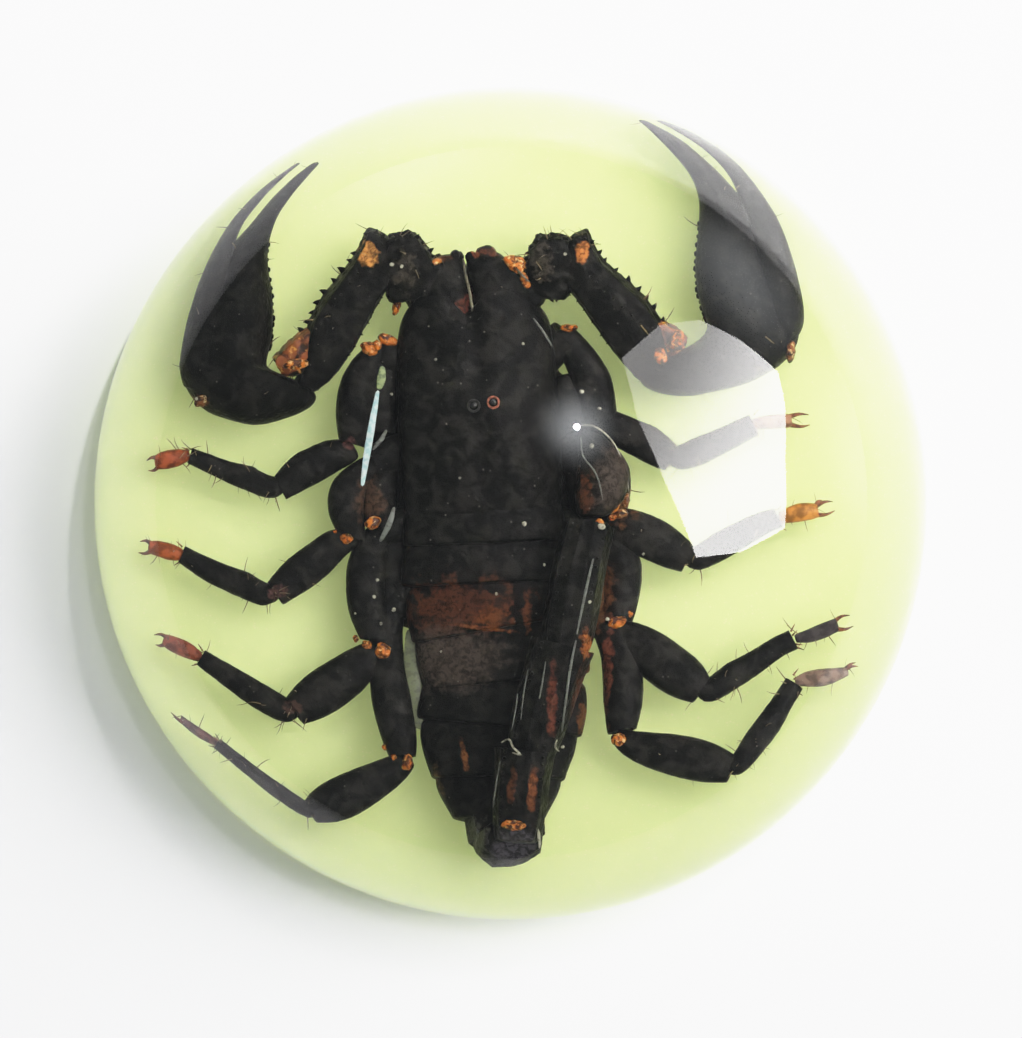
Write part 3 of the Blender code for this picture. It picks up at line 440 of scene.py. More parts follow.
# Thin films of air and dust round the specimen, with one pale strip that is a painted highlight and one
# dull green strip that is painted shade: (tone, width, depth, points).
AIR_FILMS = [
    (
        "silver", 0.62, 0.22,
        [(-11.9, 10.1, 12.2), (-12.4, 7.2, 12.2), (-12.9, 4.2, 12.1), (-13.3, 1.4, 12.0)],
    ),
    ("grey", 0.42, 0.18, [(-11.1, 6.5, 12.0), (-11.6, 5.6, 12.0), (-12.4, 4.7, 12.0)]),
    ("grey", 0.55, 0.18, [(-10.4, -0.4, 12.0), (-10.9, -2.0, 12.1), (-11.7, -3.5, 11.8)]),
    ("green", 0.8, 0.2, [(-11.5, 12.2, 12.0), (-11.6, 11.1, 12.0), (-11.8, 10.1, 12.0)]),
    (
        "dull", 0.26, 0.26,
        [
            (-4.3, 22.0, 11.8), (-4.1, 20.5, 12.35), (-3.8, 19.3, 12.45), (-3.5, 17.6, 12.5),
            (-3.4, 16.9, 12.6),
        ],
    ),
    ("dull", 0.22, 0.2, [(0.3, 21.2, 12.0), (1.0, 20.5, 12.4), (1.7, 19.8, 12.5)]),
    ("grey", 0.22, 0.15, [(2.0, 16.6, 13.2), (3.0, 15.2, 13.2), (3.7, 14.0, 13.2)]),
    # This pale strip along the rim of the sting's bulb is a painted highlight.
    (
        "pale", 0.16, 0.16,
        [
            (6.1, 6.9, 14.6), (7.4, 6.9, 14.7), (8.7, 6.0, 14.7), (9.6, 4.7, 14.4), (10.3, 2.6, 14.2),
            (10.6, 1.0, 14.0),
        ],
    ),
    (
        "grey", 0.14, 0.14,
        [(6.3, 5.8, 15.6), (6.5, 4.2, 15.8), (7.5, 2.9, 16.0), (8.0, 1.7, 15.9), (8.3, 0.2, 15.8)],
    ),
    ("grey", 0.26, 0.16, [(7.5, -5.1, 17.6), (6.9, -7.7, 17.9), (6.0, -12.2, 18.4)]),
    ("grey", 0.26, 0.16, [(6.0, -12.6, 18.9), (5.4, -15.6, 18.9), (4.7, -21.4, 18.5)]),
    ("grey", 0.14, 0.12, [(0.6, -17.6, 18.9), (0.4, -19.4, 18.9), (0.0, -21.2, 18.6)]),
    ("grey", 0.14, 0.12, [(1.6, -15.2, 19.0), (1.2, -17.4, 19.1), (0.9, -20.2, 18.9)]),
    ("grey", 0.14, 0.12, [(3.2, -14.6, 19.3), (2.9, -16.6, 19.3), (2.6, -18.2, 19.2)]),
    (
        "pale", 0.20, 0.16,
        [
            (-0.9, -22.3, 18.6), (-0.2, -22.0, 18.8), (0.2, -22.8, 18.9), (0.9, -23.5, 18.8),
            (0.1, -23.3, 18.8),
        ],
    ),
    ("pale", 0.20, 0.16, [(4.3, -22.0, 18.5), (4.1, -22.7, 18.5), (4.5, -23.2, 18.4)]),
    ("grey", 0.14, 0.12, [(-1.0, -24.0, 18.4), (-1.4, -26.4, 18.2), (-1.7, -28.8, 17.8)]),
    ("pale", 0.30, 0.2, [(2.2, -30.0, 16.6), (2.6, -31.2, 15.8), (2.7, -32.6, 14.6)]),
    ("grey", 0.35, 0.2, [(-3.2, -30.0, 12.6), (-2.8, -31.4, 12.4), (-2.3, -32.8, 12.2)]),
    # This dull green strip between the left hind leg and the body stands for the shaded green there:
    # painted shade.
    ("painted_shade", 1.5, 0.3, [(-8.9, -11.1, 9.8), (-8.8, -14.0, 9.8), (-8.5, -17.1, 9.8), (-8.1, -20.3, 9.8)]),
    ("pale", 0.20, 0.14, [(8.0, -3.4, 15.6), (8.1, -4.2, 15.6), (8.4, -5.2, 15.4)]),
]
# The two colours of each tone of the films.
AIR_TONES = {
    "silver": ((0.74, 0.83, 0.82), (0.42, 0.66, 0.68)),
    "grey": ((0.16, 0.17, 0.15), (0.08, 0.08, 0.07)),
    "green": ((0.30, 0.36, 0.17), (0.12, 0.15, 0.07)),
    "pale": ((0.50, 0.48, 0.38), (0.16, 0.15, 0.11)),
    # The dull green of the strip that is painted shade.
    "painted_shade": ((0.18, 0.20, 0.11), (0.11, 0.12, 0.07)),
    "dull": ((0.16, 0.145, 0.09), (0.06, 0.055, 0.035)),
}
# Small pale flecks round the specimen: (x, y, z, size).
FLECKS = [
    (1.2, -1.9, 14.6, 0.42), (1.1, 14.3, 14.2, 0.26), (-1.3, -8.2, 14.0, 0.26), (-10.7, 9.7, 12.4, 0.30),
    (7.2, -9.1, 17.9, 0.34), (7.9, 8.4, 12.2, 0.26), (6.3, 9.9, 11.9, 0.36), (-12.2, -8.4, 11.2, 0.30),
    (-10.5, -9.6, 12.4, 0.36), (-11.9, -6.9, 11.2, 0.28), (-11.6, -10.8, 11.2, 0.26),
    (4.8, -22.7, 18.2, 0.30), (4.9, 22.5, 12.8, 0.30), (-10.8, 21.6, 12.8, 0.34),
    (-9.9, 21.4, 12.8, 0.30), (7.3, 5.1, 15.9, 0.40), (-4.6, 2.2, 14.8, 0.22), (-6.8, 12.9, 14.2, 0.24),
    (3.0, -5.6, 14.4, 0.22), (-6.3, -13.4, 13.4, 0.24), (8.2, -2.2, 16.6, 0.55), (-29.1, 9.6, 13.1, 0.30),
    (8.6, -10.4, 11.4, 0.34), (-13.9, -9.9, 11.0, 0.20), (11.8, -4.6, 11.4, 0.24),
]
# Small models that are copied, 1 mm high: sides, whether they are shaded smooth, and stations.
MODELS = {
    "spine": (6, False, [
        (0.0, 0.0, 0.0, 1.0, 1.0), (0.02, 0.0, 0.4, 0.7, 0.7), (0.1, 0.0, 0.78, 0.34, 0.34),
        (0.2, 0.0, 1.0, 0.08, 0.08),
    ]),
    "grain": (7, True, [(0.0, 0.0, 0.0, 1.0, 1.0), (0.0, 0.0, 0.45, 0.9, 0.9), (0.0, 0.0, 0.85, 0.5, 0.5)]),
    "hair": (4, False, [
        (0.0, 0.0, 0.0, 0.05, 0.05), (0.03, 0.0, 0.35, 0.042, 0.042), (0.11, 0.0, 0.7, 0.03, 0.03),
        (0.24, 0.0, 1.0, 0.008, 0.008),
    ]),
}

# Patches where the shell is thin: (place, reach, turn, colour, raggedness), in millimetres and degrees.
BODY_PATCHES = [
    ((-4.9, -9.5), (5.0, 2.2), 0.0, (0.066, 0.024, 0.012), 0.6),
    ((-2.0, -11.3), (2.6, 0.22), -6.0, (0.20, 0.065, 0.02), 0.5),
    ((-1.5, -10.3), (1.7, 0.9), 0.0, (0.13, 0.042, 0.014), 0.5),
    ((-5.4, -14.0), (4.6, 2.5), 0.0, (0.064, 0.050, 0.041), 0.3),
    ((1.5, -9.9), (0.4, 1.5), 0.0, (0.14, 0.045, 0.018), 0.5),
    ((4.9, -10.6), (0.6, 2.0), 15.0, (0.26, 0.08, 0.025), 0.5),
    ((-4.2, -22.9), (0.3, 1.5), 12.0, (0.22, 0.085, 0.03), 0.4),
    ((7.2, -13.4), (0.8, 2.4), 8.0, (0.30, 0.11, 0.03), 0.5),
    ((6.6, -19.6), (0.5, 2.2), 0.0, (0.12, 0.05, 0.02), 0.5),
    ((-6.7, -26.0), (0.5, 1.8), 0.0, (0.10, 0.06, 0.03), 0.5),
]
TAIL_PATCHES = [
    ((3.8, -18.6), (0.45, 3.2), 0.0, (0.13, 0.040, 0.024), 0.3),
    ((6.1, -18.9), (0.5, 3.2), -8.0, (0.085, 0.03, 0.018), 0.3),
    ((6.9, -12.9), (0.5, 1.2), 0.0, (0.32, 0.10, 0.03), 0.4),
    ((0.1, -26.6), (0.38, 1.5), -5.0, (0.12, 0.045, 0.022), 0.3),
    ((2.0, -26.8), (0.45, 1.9), -5.0, (0.20, 0.066, 0.026), 0.3),
    ((0.2, -33.0), (2.4, 2.2), 0.0, (0.085, 0.078, 0.088), 0.3),
    ((-3.2, -31.4), (1.0, 2.4), 0.0, (0.085, 0.082, 0.07), 0.5),
    ((9.2, 2.6), (1.6, 3.2), -18.0, (0.055, 0.042, 0.034), 0.4),
    ((6.6, 1.0), (0.7, 1.6), 0.0, (0.075, 0.028, 0.014), 0.5),
]
PALP_PATCHES = [
    ((-12.9, 22.4), (0.7, 1.1), 0.0, (0.60, 0.26, 0.07), 0.5),
    ((6.5, 22.6), (0.5, 0.9), 0.0, (0.50, 0.17, 0.045), 0.4),
    ((-28.6, 9.2), (0.7, 0.6), 0.0, (0.16, 0.06, 0.025), 0.6),
    ((-9.4, 21.0), (0.9, 1.6), 0.0, (0.045, 0.038, 0.03), 0.6),
    ((2.9, 21.4), (0.9, 1.6), 0.0, (0.045, 0.038, 0.03), 0.6),
]
LEG_PATCHES = [
    ((-12.5, 0.2), (1.1, 1.8), 0.0, (0.070, 0.040, 0.026), 0.5),
    ((-14.3, 5.3), (0.5, 0.5), 0.0, (0.14, 0.06, 0.055), 0.3),
    ((8.1, -8.4), (0.9, 2.6), 0.0, (0.10, 0.045, 0.02), 0.6),
    ((8.5, -15.4), (0.45, 5.0), -3.0, (0.15, 0.05, 0.03), 0.5),
    ((9.8, -0.3), (1.3, 1.3), 0.0, (0.11, 0.05, 0.022), 0.6),
    ((-21.0, -8.0), (0.8, 0.6), 0.0, (0.10, 0.05, 0.045), 0.5),
    ((-19.6, -18.4), (0.7, 0.6), 0.0, (0.08, 0.045, 0.035), 0.5),
]
JAW_PATCHES = [
    ((-4.4, 17.7), (0.7, 1.1), -35.0, (0.11, 0.034, 0.022), 0.5),
    ((-3.2, 22.3), (0.35, 0.3), 0.0, (0.32, 0.10, 0.05), 0.5),
    ((-6.6, 21.6), (0.9, 0.4), 20.0, (0.10, 0.035, 0.02), 0.6),
    ((-1.4, 22.6), (1.6, 0.3), 0.0, (0.10, 0.035, 0.02), 0.6),
]

# The studio, in metres: the table's radius, the lights' places and the corners of the large soft light.
TABLE_RADIUS = 6.0
LAMP = (0.246, 0.284, 1.140)
CEILING = (0.0, 0.0, 1.3)
POOL_LAMP = (0.30, 0.48, 0.80)
POOL = (0.085, 0.13, 0.0)
HALO = (0.251, 0.290, 1.163)
WINDOW = [
    (0.470, 0.615, 1.119), (0.507, 0.343, 1.140), (0.602, 0.083, 1.100), (0.735, -0.215, 1.020),
    (0.890, -0.190, 0.860), (1.058, -0.095, 0.670), (1.035, 0.164, 0.644), (1.054, 0.379, 0.578),
    (1.051, 0.518, 0.551), (0.915, 0.653, 0.660), (0.777, 0.754, 0.778), (0.623, 0.746, 0.936),
]
# Soft discs that light the dome's rim: (place, radius, share of the walls' light).
WALLS = {
    "back_wall": ((-0.45, 1.45, 0.10), 1.0, 1.0),
    "right_wall": ((1.75, 0.25, 0.10), 1.0, 1.0),
    "corner_wall": ((1.23, 1.23, 0.50), 0.95, 0.8),
}
CAMERA = (0.0, -1.635 * MM, 0.4)
LENS = 134.26
# The roll-off of bright tones: (light in, light out), and where it ends.
ROLL_OFF = (
    (0.05, 0.10), (0.15, 0.30), (0.25, 0.49), (0.36, 0.68), (0.46, 0.81), (0.62, 0.92), (0.80, 0.95),
)
ROLL_END = (1.0, 0.96)
WHITE_LEVEL = 2.0


# Settings that a user would change.

def length(name, description, default):
    """A length property with its default in metres."""
    return bpy.props.FloatProperty(
        name=name, description=description, default=default, min=0.0, precision=4, unit="LENGTH",
    )


def colour(name, description, default):
    """A colour property."""
    return bpy.props.FloatVectorProperty(
        name=name, description=description, default=default, size=3, min=0.0, max=1.0, subtype="COLOR",
    )


def share(name, description, default, low=0.0, high=1.0):
    """A plain number property."""
    return bpy.props.FloatProperty(name=name, description=description, default=default, min=low, max=high)


class GlowLayerSettings(bpy.types.PropertyGroup):
    """The poured layer of glow resin under the dome."""

    radius: length("Radius", "Radius of the layer", LAYER_REACH - 0.05 * MM)
    thickness: length("Thickness", "Height of the layer's top above the table", LAYER_TOP)
    rounding: length("Foot rounding", "Radius of the rounding at the foot", 1.2 * MM)
    colour: colour("Colour", "Colour of the glow resin", (0.76, 0.87, 0.36))
    pigment: colour("Pigment", "Colour of the coarser pigment grains", (0.86, 0.96, 0.48))
    glow: colour("Afterglow", "Colour of the light that the layer gives off", (0.66, 0.78, 0.30))
    # Set strong enough to brighten the layer and fill the shadows of the limbs on it: partly real
    # afterglow, partly painted fill light.
    afterglow_and_fill_strength: share("Afterglow strength", "How strongly the layer glows", 0.28, 0.0, 10.0)


class ClearDomeSettings(bpy.types.PropertyGroup):
    """The clear casting over the scorpion."""

    radius: length("Radius", "Radius of the dome at its foot", LAYER_REACH - 0.005 * MM)
    top: length("Top", "Height of the dome's top above the table", DOME_TOP)
    tint: colour("Tint", "Tint of the light that passes through", (1.0, 1.0, 1.0))
    ior: share("Refractive index", "How strongly the resin bends light", 1.52, 1.0, 2.0)


class ScorpionSettings(bpy.types.PropertyGroup):
    """Colours and hair of the dried specimen."""

    shell: colour("Shell", "Darkest colour of the shell", (0.0042, 0.0042, 0.0040))
    shell_pale: colour("Worn shell", "Paler colour in the shell's mottling", (0.0150, 0.0142, 0.0125))
    joint: colour("Joint skin", "Colour of the soft skin at the joints", (0.60, 0.17, 0.022))
    hair: colour("Hair", "Colour of the fine hairs", (0.30, 0.22, 0.11))
    hairs: bpy.props.IntProperty(
        name="Hairs", description="Number of hairs on the limbs", default=460, min=0,
    )
    hair_length: length("Hair length", "Length of the longest hairs", 1.7 * MM)


class StudioSettings(bpy.types.PropertyGroup):
    """The table, lights and camera."""

    table: colour("Table", "Colour of the table", (0.86, 0.865, 0.87))
    lamp_power: share("Lamp", "Power of the small lamp above", 1.0, 0.0, 50.0)
    window_light: share("Window", "Brightness of the large soft light at the right", 13.0, 0.0, 500.0)
    halo_light: share("Halo", "Brightness of the soft disc round the lamp", 7.0, 0.0, 500.0)
    wall_light: share("Walls", "Brightness of the pale walls behind and at the right", 2.6, 0.0, 500.0)
    pool_power: share("Pool", "Power of the light that falls on the table behind", 110.0, 0.0, 500.0)
    ceiling_power: share("Ceiling", "Power of the broad soft light overhead", 7.0, 0.0, 500.0)
    room_light: share("Room", "Strength of the light from the room", 0.20, 0.0, 5.0)


# Modelling by hand: rings drawn out, pressed and smoothed.

def put_down():
    """Leave edit mode and let go of everything, because operators act on all that is selected."""
    if bpy.context.mode != "OBJECT":
        bpy.ops.object.mode_set(mode="OBJECT")
    bpy.ops.object.select_all(action="DESELECT")


def take(piece):
    """Select one piece alone and make it active."""
    put_down()
    piece.select_set(True)
    bpy.context.view_layer.objects.active = piece


def named(name):
    """The object that was just made, under its name."""
    piece = bpy.context.object
    piece.name = name
    piece.data.name = name
    return piece


def settle(piece):
    """Put a piece's place, turn and size into its mesh."""
    take(piece)
    bpy.ops.object.transform_apply(location=True, rotation=True, scale=True)


def open_up():
    """Go into edit mode, where vertices are selected."""
    bpy.ops.object.mode_set(mode="EDIT")
    bpy.ops.mesh.select_mode(type="VERT")


def turn_out():
    """Turn every face outwards and leave edit mode."""
    bpy.ops.mesh.select_all(action="SELECT")
    bpy.ops.mesh.normals_make_consistent(inside=False)
    bpy.ops.object.mode_set(mode="OBJECT")


def pick(piece, test):
    """Select the vertices whose place passes a test, in edit mode."""
    shape = bmesh.from_edit_mesh(piece.data)
    for vertex in shape.verts:
        vertex.select = bool(test(vertex.co))
    shape.select_flush_mode()
    bmesh.update_edit_mesh(piece.data)


def resize(width, depth, height=1.0, centre=ORIGIN):
    """Scale what is selected about a place."""
    bpy.ops.transform.resize(value=(width, depth, height), center_override=centre)


def axes_along(start, end):
    """Axes of a piece that runs from start to end: across, up and along."""
    along = (end - start).normalized()
    across = UP.cross(along)
    nearly_upright = across.length < 0.3
    if nearly_upright:
        across = Vector((1.0, 0.0, 0.0))
    across = (across - along * across.dot(along)).normalized()
    return Matrix((across, along.cross(across), along)).transposed()


def eased(stations, count):
    """The given number of stations on a smooth line through the given ones."""
    points = [stations[0], *stations, stations[-1]]
    spans = len(stations) - 1
    smooth = []
    for index in range(count):
        place = spans * index / (count - 1)
        span = min(int(place), spans - 1)
        t = place - span
        smooth.append(tuple(
            0.5 * (
                2 * q + (r - p) * t + (2 * p - 5 * q + 4 * r - s) * t * t
                + (3 * q - p - 3 * r + s) * t ** 3
            )
            for p, q, r, s in zip(*points[span:span + 4])
        ))
    return smooth


def from_slices(slices):
    """Slices (y, left, right, bottom, top) as stations (x, y, z, width, depth)."""
    return [((l + r) / 2, y, (b + t) / 2, r - l, t - b) for y, l, r, b, t in slices]


def draw_out(name, stations, sides=12, keels=(), crease=0.0, square=1.0, crisp=(0.0, 0.0), socket=0.0):
    """A closed piece drawn out from a filled ring through stations (x, y, z, width, depth).

    Keels are (angle, factor) round the ring, with 90 degrees at the top, and crease sharpens
    them; square is how far the ring's four shoulders are drawn out; crisp creases the rims of
    both ends, and socket is how deep the last end is hollowed.
    """
    start = Vector(stations[0][:3])
    turned = axes_along(start, Vector(stations[-1][:3]))
    places = [turned.transposed() @ (Vector(station[:3]) - start) * MM for station in stations]
    kept_by_rounding = 2.0 / 3.0 + math.cos(2.0 * math.pi / sides) / 3.0
    shoulder = 0.42
    put_down()
    bpy.ops.mesh.primitive_circle_add(
        vertices=sides, radius=0.5 * MM * (1.0 / kept_by_rounding), fill_type="NGON",
    )
    piece = named(name)
    open_up()
    if square != 1.0:
        pick(piece, lambda co: min(abs(co.x), abs(co.y)) > shoulder * max(abs(co.x), abs(co.y)))
        resize(square, square)
    piece.vertex_groups.new(name="keel")
    near = math.cos(0.9 * math.pi / sides)
    for angle, factor in keels:
        ray = Vector((math.cos(math.radians(angle)), math.sin(math.radians(angle)), 0.0))
        pick(piece, lambda co: co.normalized().dot(ray) > near)
        if factor > 1.0:
            bpy.ops.object.vertex_group_assign()
        resize(factor, factor)
    bpy.ops.mesh.select_all(action="SELECT")
    width, depth = stations[0][3:5]
    resize(width, depth)
    for station, before, place in zip(stations[1:], places, places[1:]):
        bpy.ops.mesh.extrude_region_move(TRANSFORM_OT_translate={"value": place - before})
        resize(station[3] / width, station[4] / depth, centre=place)
        width, depth = station[3:5]
    if crisp[1]:
        bpy.ops.transform.edge_crease(value=crisp[1])
    if socket:
        bpy.ops.mesh.inset(thickness=0.15 * min(width, depth) * MM)
        bpy.ops.transform.translate(value=(places[-2] - places[-1]).normalized() * socket * MM)
    if crisp[0]:
        pick(piece, lambda co: abs(co.z) < 1e-7)
        bpy.ops.transform.edge_crease(value=crisp[0])
    if keels:
        bpy.ops.mesh.select_all(action="DESELECT")
        bpy.ops.object.vertex_group_select()
        bpy.ops.transform.edge_crease(value=crease)
    turn_out()
    piece.matrix_world = Matrix.Translation(start * MM) @ turned.to_4x4()
    settle(piece)
    return piece


def smooth_out(piece, levels):
    """Subdivide a piece and shade it smooth."""
    take(piece)
    rounding = piece.modifiers.new("rounding", "SUBSURF")
    rounding.levels = levels
    rounding.render_levels = levels
    bpy.ops.object.modifier_apply(modifier="rounding")
    bpy.ops.object.shade_smooth_by_angle(angle=math.radians(52.0))


def roughen(piece, size, depth):
    """Raise a cloudy relief on a piece; the size and depth are in millimetres."""
    clouds = bpy.data.textures.new(f"{piece.name}_clouds", "CLOUDS")
    clouds.noise_scale = size * MM
    clouds.noise_depth = 2
    take(piece)
    relief = piece.modifiers.new("relief", "DISPLACE")
    relief.texture = clouds
    relief.texture_coords = "LOCAL"
    relief.strength = depth * MM
    relief.mid_level = 0.5
    bpy.ops.object.modifier_apply(modifier="relief")


def shell_part(name, stations, levels, size, depth, **shape):
    """A piece drawn out, smoothed, and given a relief of a size and depth."""
    piece = draw_out(name, stations, **shape)
    smooth_out(piece, levels)
    roughen(piece, size, depth)
    return piece


def limb_part(name, stations, neck, rough, rings=10, crisp=0.8, socket=0.3, **shape):
    """One part of a limb: a narrow neck, a smooth run and a crisp, hollowed rim at its end."""
    first = Vector(stations[0][:3])
    away = (first - Vector(stations[1][:3])).normalized()
    width, depth = stations[0][3:5]
    start = (*(first + away * 0.3 * width), neck * width, neck * depth)
    run = eased([start, *stations], rings)
    return shell_part(name, run, 2, 0.6, rough, crisp=(0.0, crisp), socket=socket, **shape)


def wire(name, points, finish=None):
    """A thin piece along a smooth line through points (x, y, z, width)."""
    put_down()
    bpy.ops.curve.primitive_nurbs_path_add()
    course = bpy.context.object.data
    course.splines.clear()
    course.bevel_depth = 0.5 * MM
    course.bevel_resolution = 1
    course.use_fill_caps = True
    run = course.splines.new("POLY")
    steps = eased(points, 3 * len(points) - 2)
    run.points.add(len(steps) - 1)
    for point, (x, y, z, width) in zip(run.points, steps):
        point.co = (x * MM, y * MM, z * MM, 1.0)
        point.radius = width
    bpy.ops.object.convert(target="MESH")
    piece = named(name)
    open_up()
    bpy.ops.mesh.select_all(action="SELECT")
    bpy.ops.mesh.remove_doubles(threshold=0.0005 * MM)
    turn_out()
    bpy.ops.object.transform_apply(location=True, rotation=True, scale=True)
    bpy.ops.object.shade_smooth()
    paint_over(piece, finish)
    return piece


def press(piece, points, move, reach):
    """Push the surface near the given points, fading out within a reach, all in millimetres."""
    spots = [Vector(point) * MM for point in points]
    take(piece)
    open_up()
    near = 0.35 * reach * MM
    pick(piece, lambda co: any((co - spot).length < near for spot in spots))
    bpy.ops.transform.translate(
        value=Vector(move) * MM,
        use_proportional_edit=True,
        proportional_size=reach * MM,
        proportional_edit_falloff="SMOOTH",
    )
    bpy.ops.object.mode_set(mode="OBJECT")


def along_line(start, end, count):
    """Points evenly spaced on a straight line."""
    a, b = Vector(start), Vector(end)
    return [a.lerp(b, index / (count - 1)) for index in range(count)]


def join_up(name, pieces):
    """Join pieces in one object."""
    take(pieces[0])
    for piece in pieces[1:]:
        piece.select_set(True)
    bpy.ops.object.join()
    return named(name)


def bead(name, place, size, turn=0.0, finish=None, ragged=0.08):
    """A small rounded lump of soft skin or a joint's knob; place and size in millimetres."""
    put_down()
    bpy.ops.mesh.primitive_uv_sphere_add(segments=20, ring_count=12, radius=0.5 * MM)
    piece = named(name)
    open_up()
    bpy.ops.mesh.select_all(action="SELECT")
    resize(*size)
    bpy.ops.object.mode_set(mode="OBJECT")
    roughen(piece, 0.55 * min(size), ragged * min(size))
    bpy.ops.object.shade_smooth()
    turned = Matrix.Rotation(math.radians(turn), 4, "Z")
    piece.matrix_world = Matrix.Translation(Vector(place) * MM) @ turned
    settle(piece)
    paint_over(piece, finish)
    return piece


def scatter(name, kind, stands):
    """Copies of a small model at the given matrices, each with its own mesh, joined in one."""
    sides, smooth, stations = MODELS[kind]
    model = draw_out(kind, stations, sides)
    if smooth:
        bpy.ops.object.shade_smooth()
    copies = []
    for stand in stands:
        copy = model.copy()
        copy.data = model.data.copy()
        copy.matrix_world = stand
        bpy.context.scene.collection.objects.link(copy)
        copies.append(copy)
    whole = join_up(name, copies)
    settle(whole)
    bpy.data.objects.remove(model, do_unlink=True)
    return whole


def stand_at(place, direction, width, height, roll=0.0):
    """The matrix that stands a model of 1 mm at a place, with its Z in a direction."""
    turn = Vector(direction).to_track_quat("Z", "Y").to_matrix().to_4x4()
    size = Matrix.Rotation(roll, 4, "Z") @ Matrix.Diagonal((width, width, height, 1.0))
    return Matrix.Translation(Vector(place) * MM) @ turn @ size


def studs(tree, points, width, height, sink=0.18):
    """Matrices that stand small models on the surface nearest to some points."""
    chance = random.Random(7)
    stands = []
    for point in points:
        place, normal, _, _ = tree.find_nearest(Vector(point))
        grow = chance.uniform(0.7, 1.15)
        lean = normal + Vector((chance.uniform(-0.25, 0.25), chance.uniform(-0.25, 0.25), 0.0))
        stands.append(stand_at(place - normal * sink * height, lean, width * grow, height * grow))
    return stands


def paint_over(piece, finish):
    """Give a piece one finish in place of those it has, or leave it bare."""
    piece.data.materials.clear()
    if finish is not None:
        piece.data.materials.append(finish)


def belongs(piece, finish=None):
    """Let a piece ride on the root and stand for the scorpion."""
    if finish is not None:
        paint_over(piece, finish)
    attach(piece, "root")
    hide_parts("scorpion")


def surface_of(pieces):
    """A search tree over the faces of some pieces, in millimetres."""
    points = []
    faces = []
    for piece in pieces:
        first = len(points)
        points.extend(vertex.co / MM for vertex in piece.data.vertices)
        faces.extend([first + index for index in face.vertices] for face in piece.data.polygons)
    return BVHTree.FromPolygons(points, faces)


def top_of(tree, x, y):
    """The height of the highest surface at x and y, in millimetres."""
    place, _, _, _ = tree.ray_cast(Vector((x, y, 30.0)), -UP)
    if place is None:
        raise RuntimeError(f"nothing lies under {x:.1f}, {y:.1f}")
    return place.z


# Finishes.

def dimmed(tone, factor):
    """A colour made darker, or lighter, by a factor."""
    return [factor * part for part in tone]


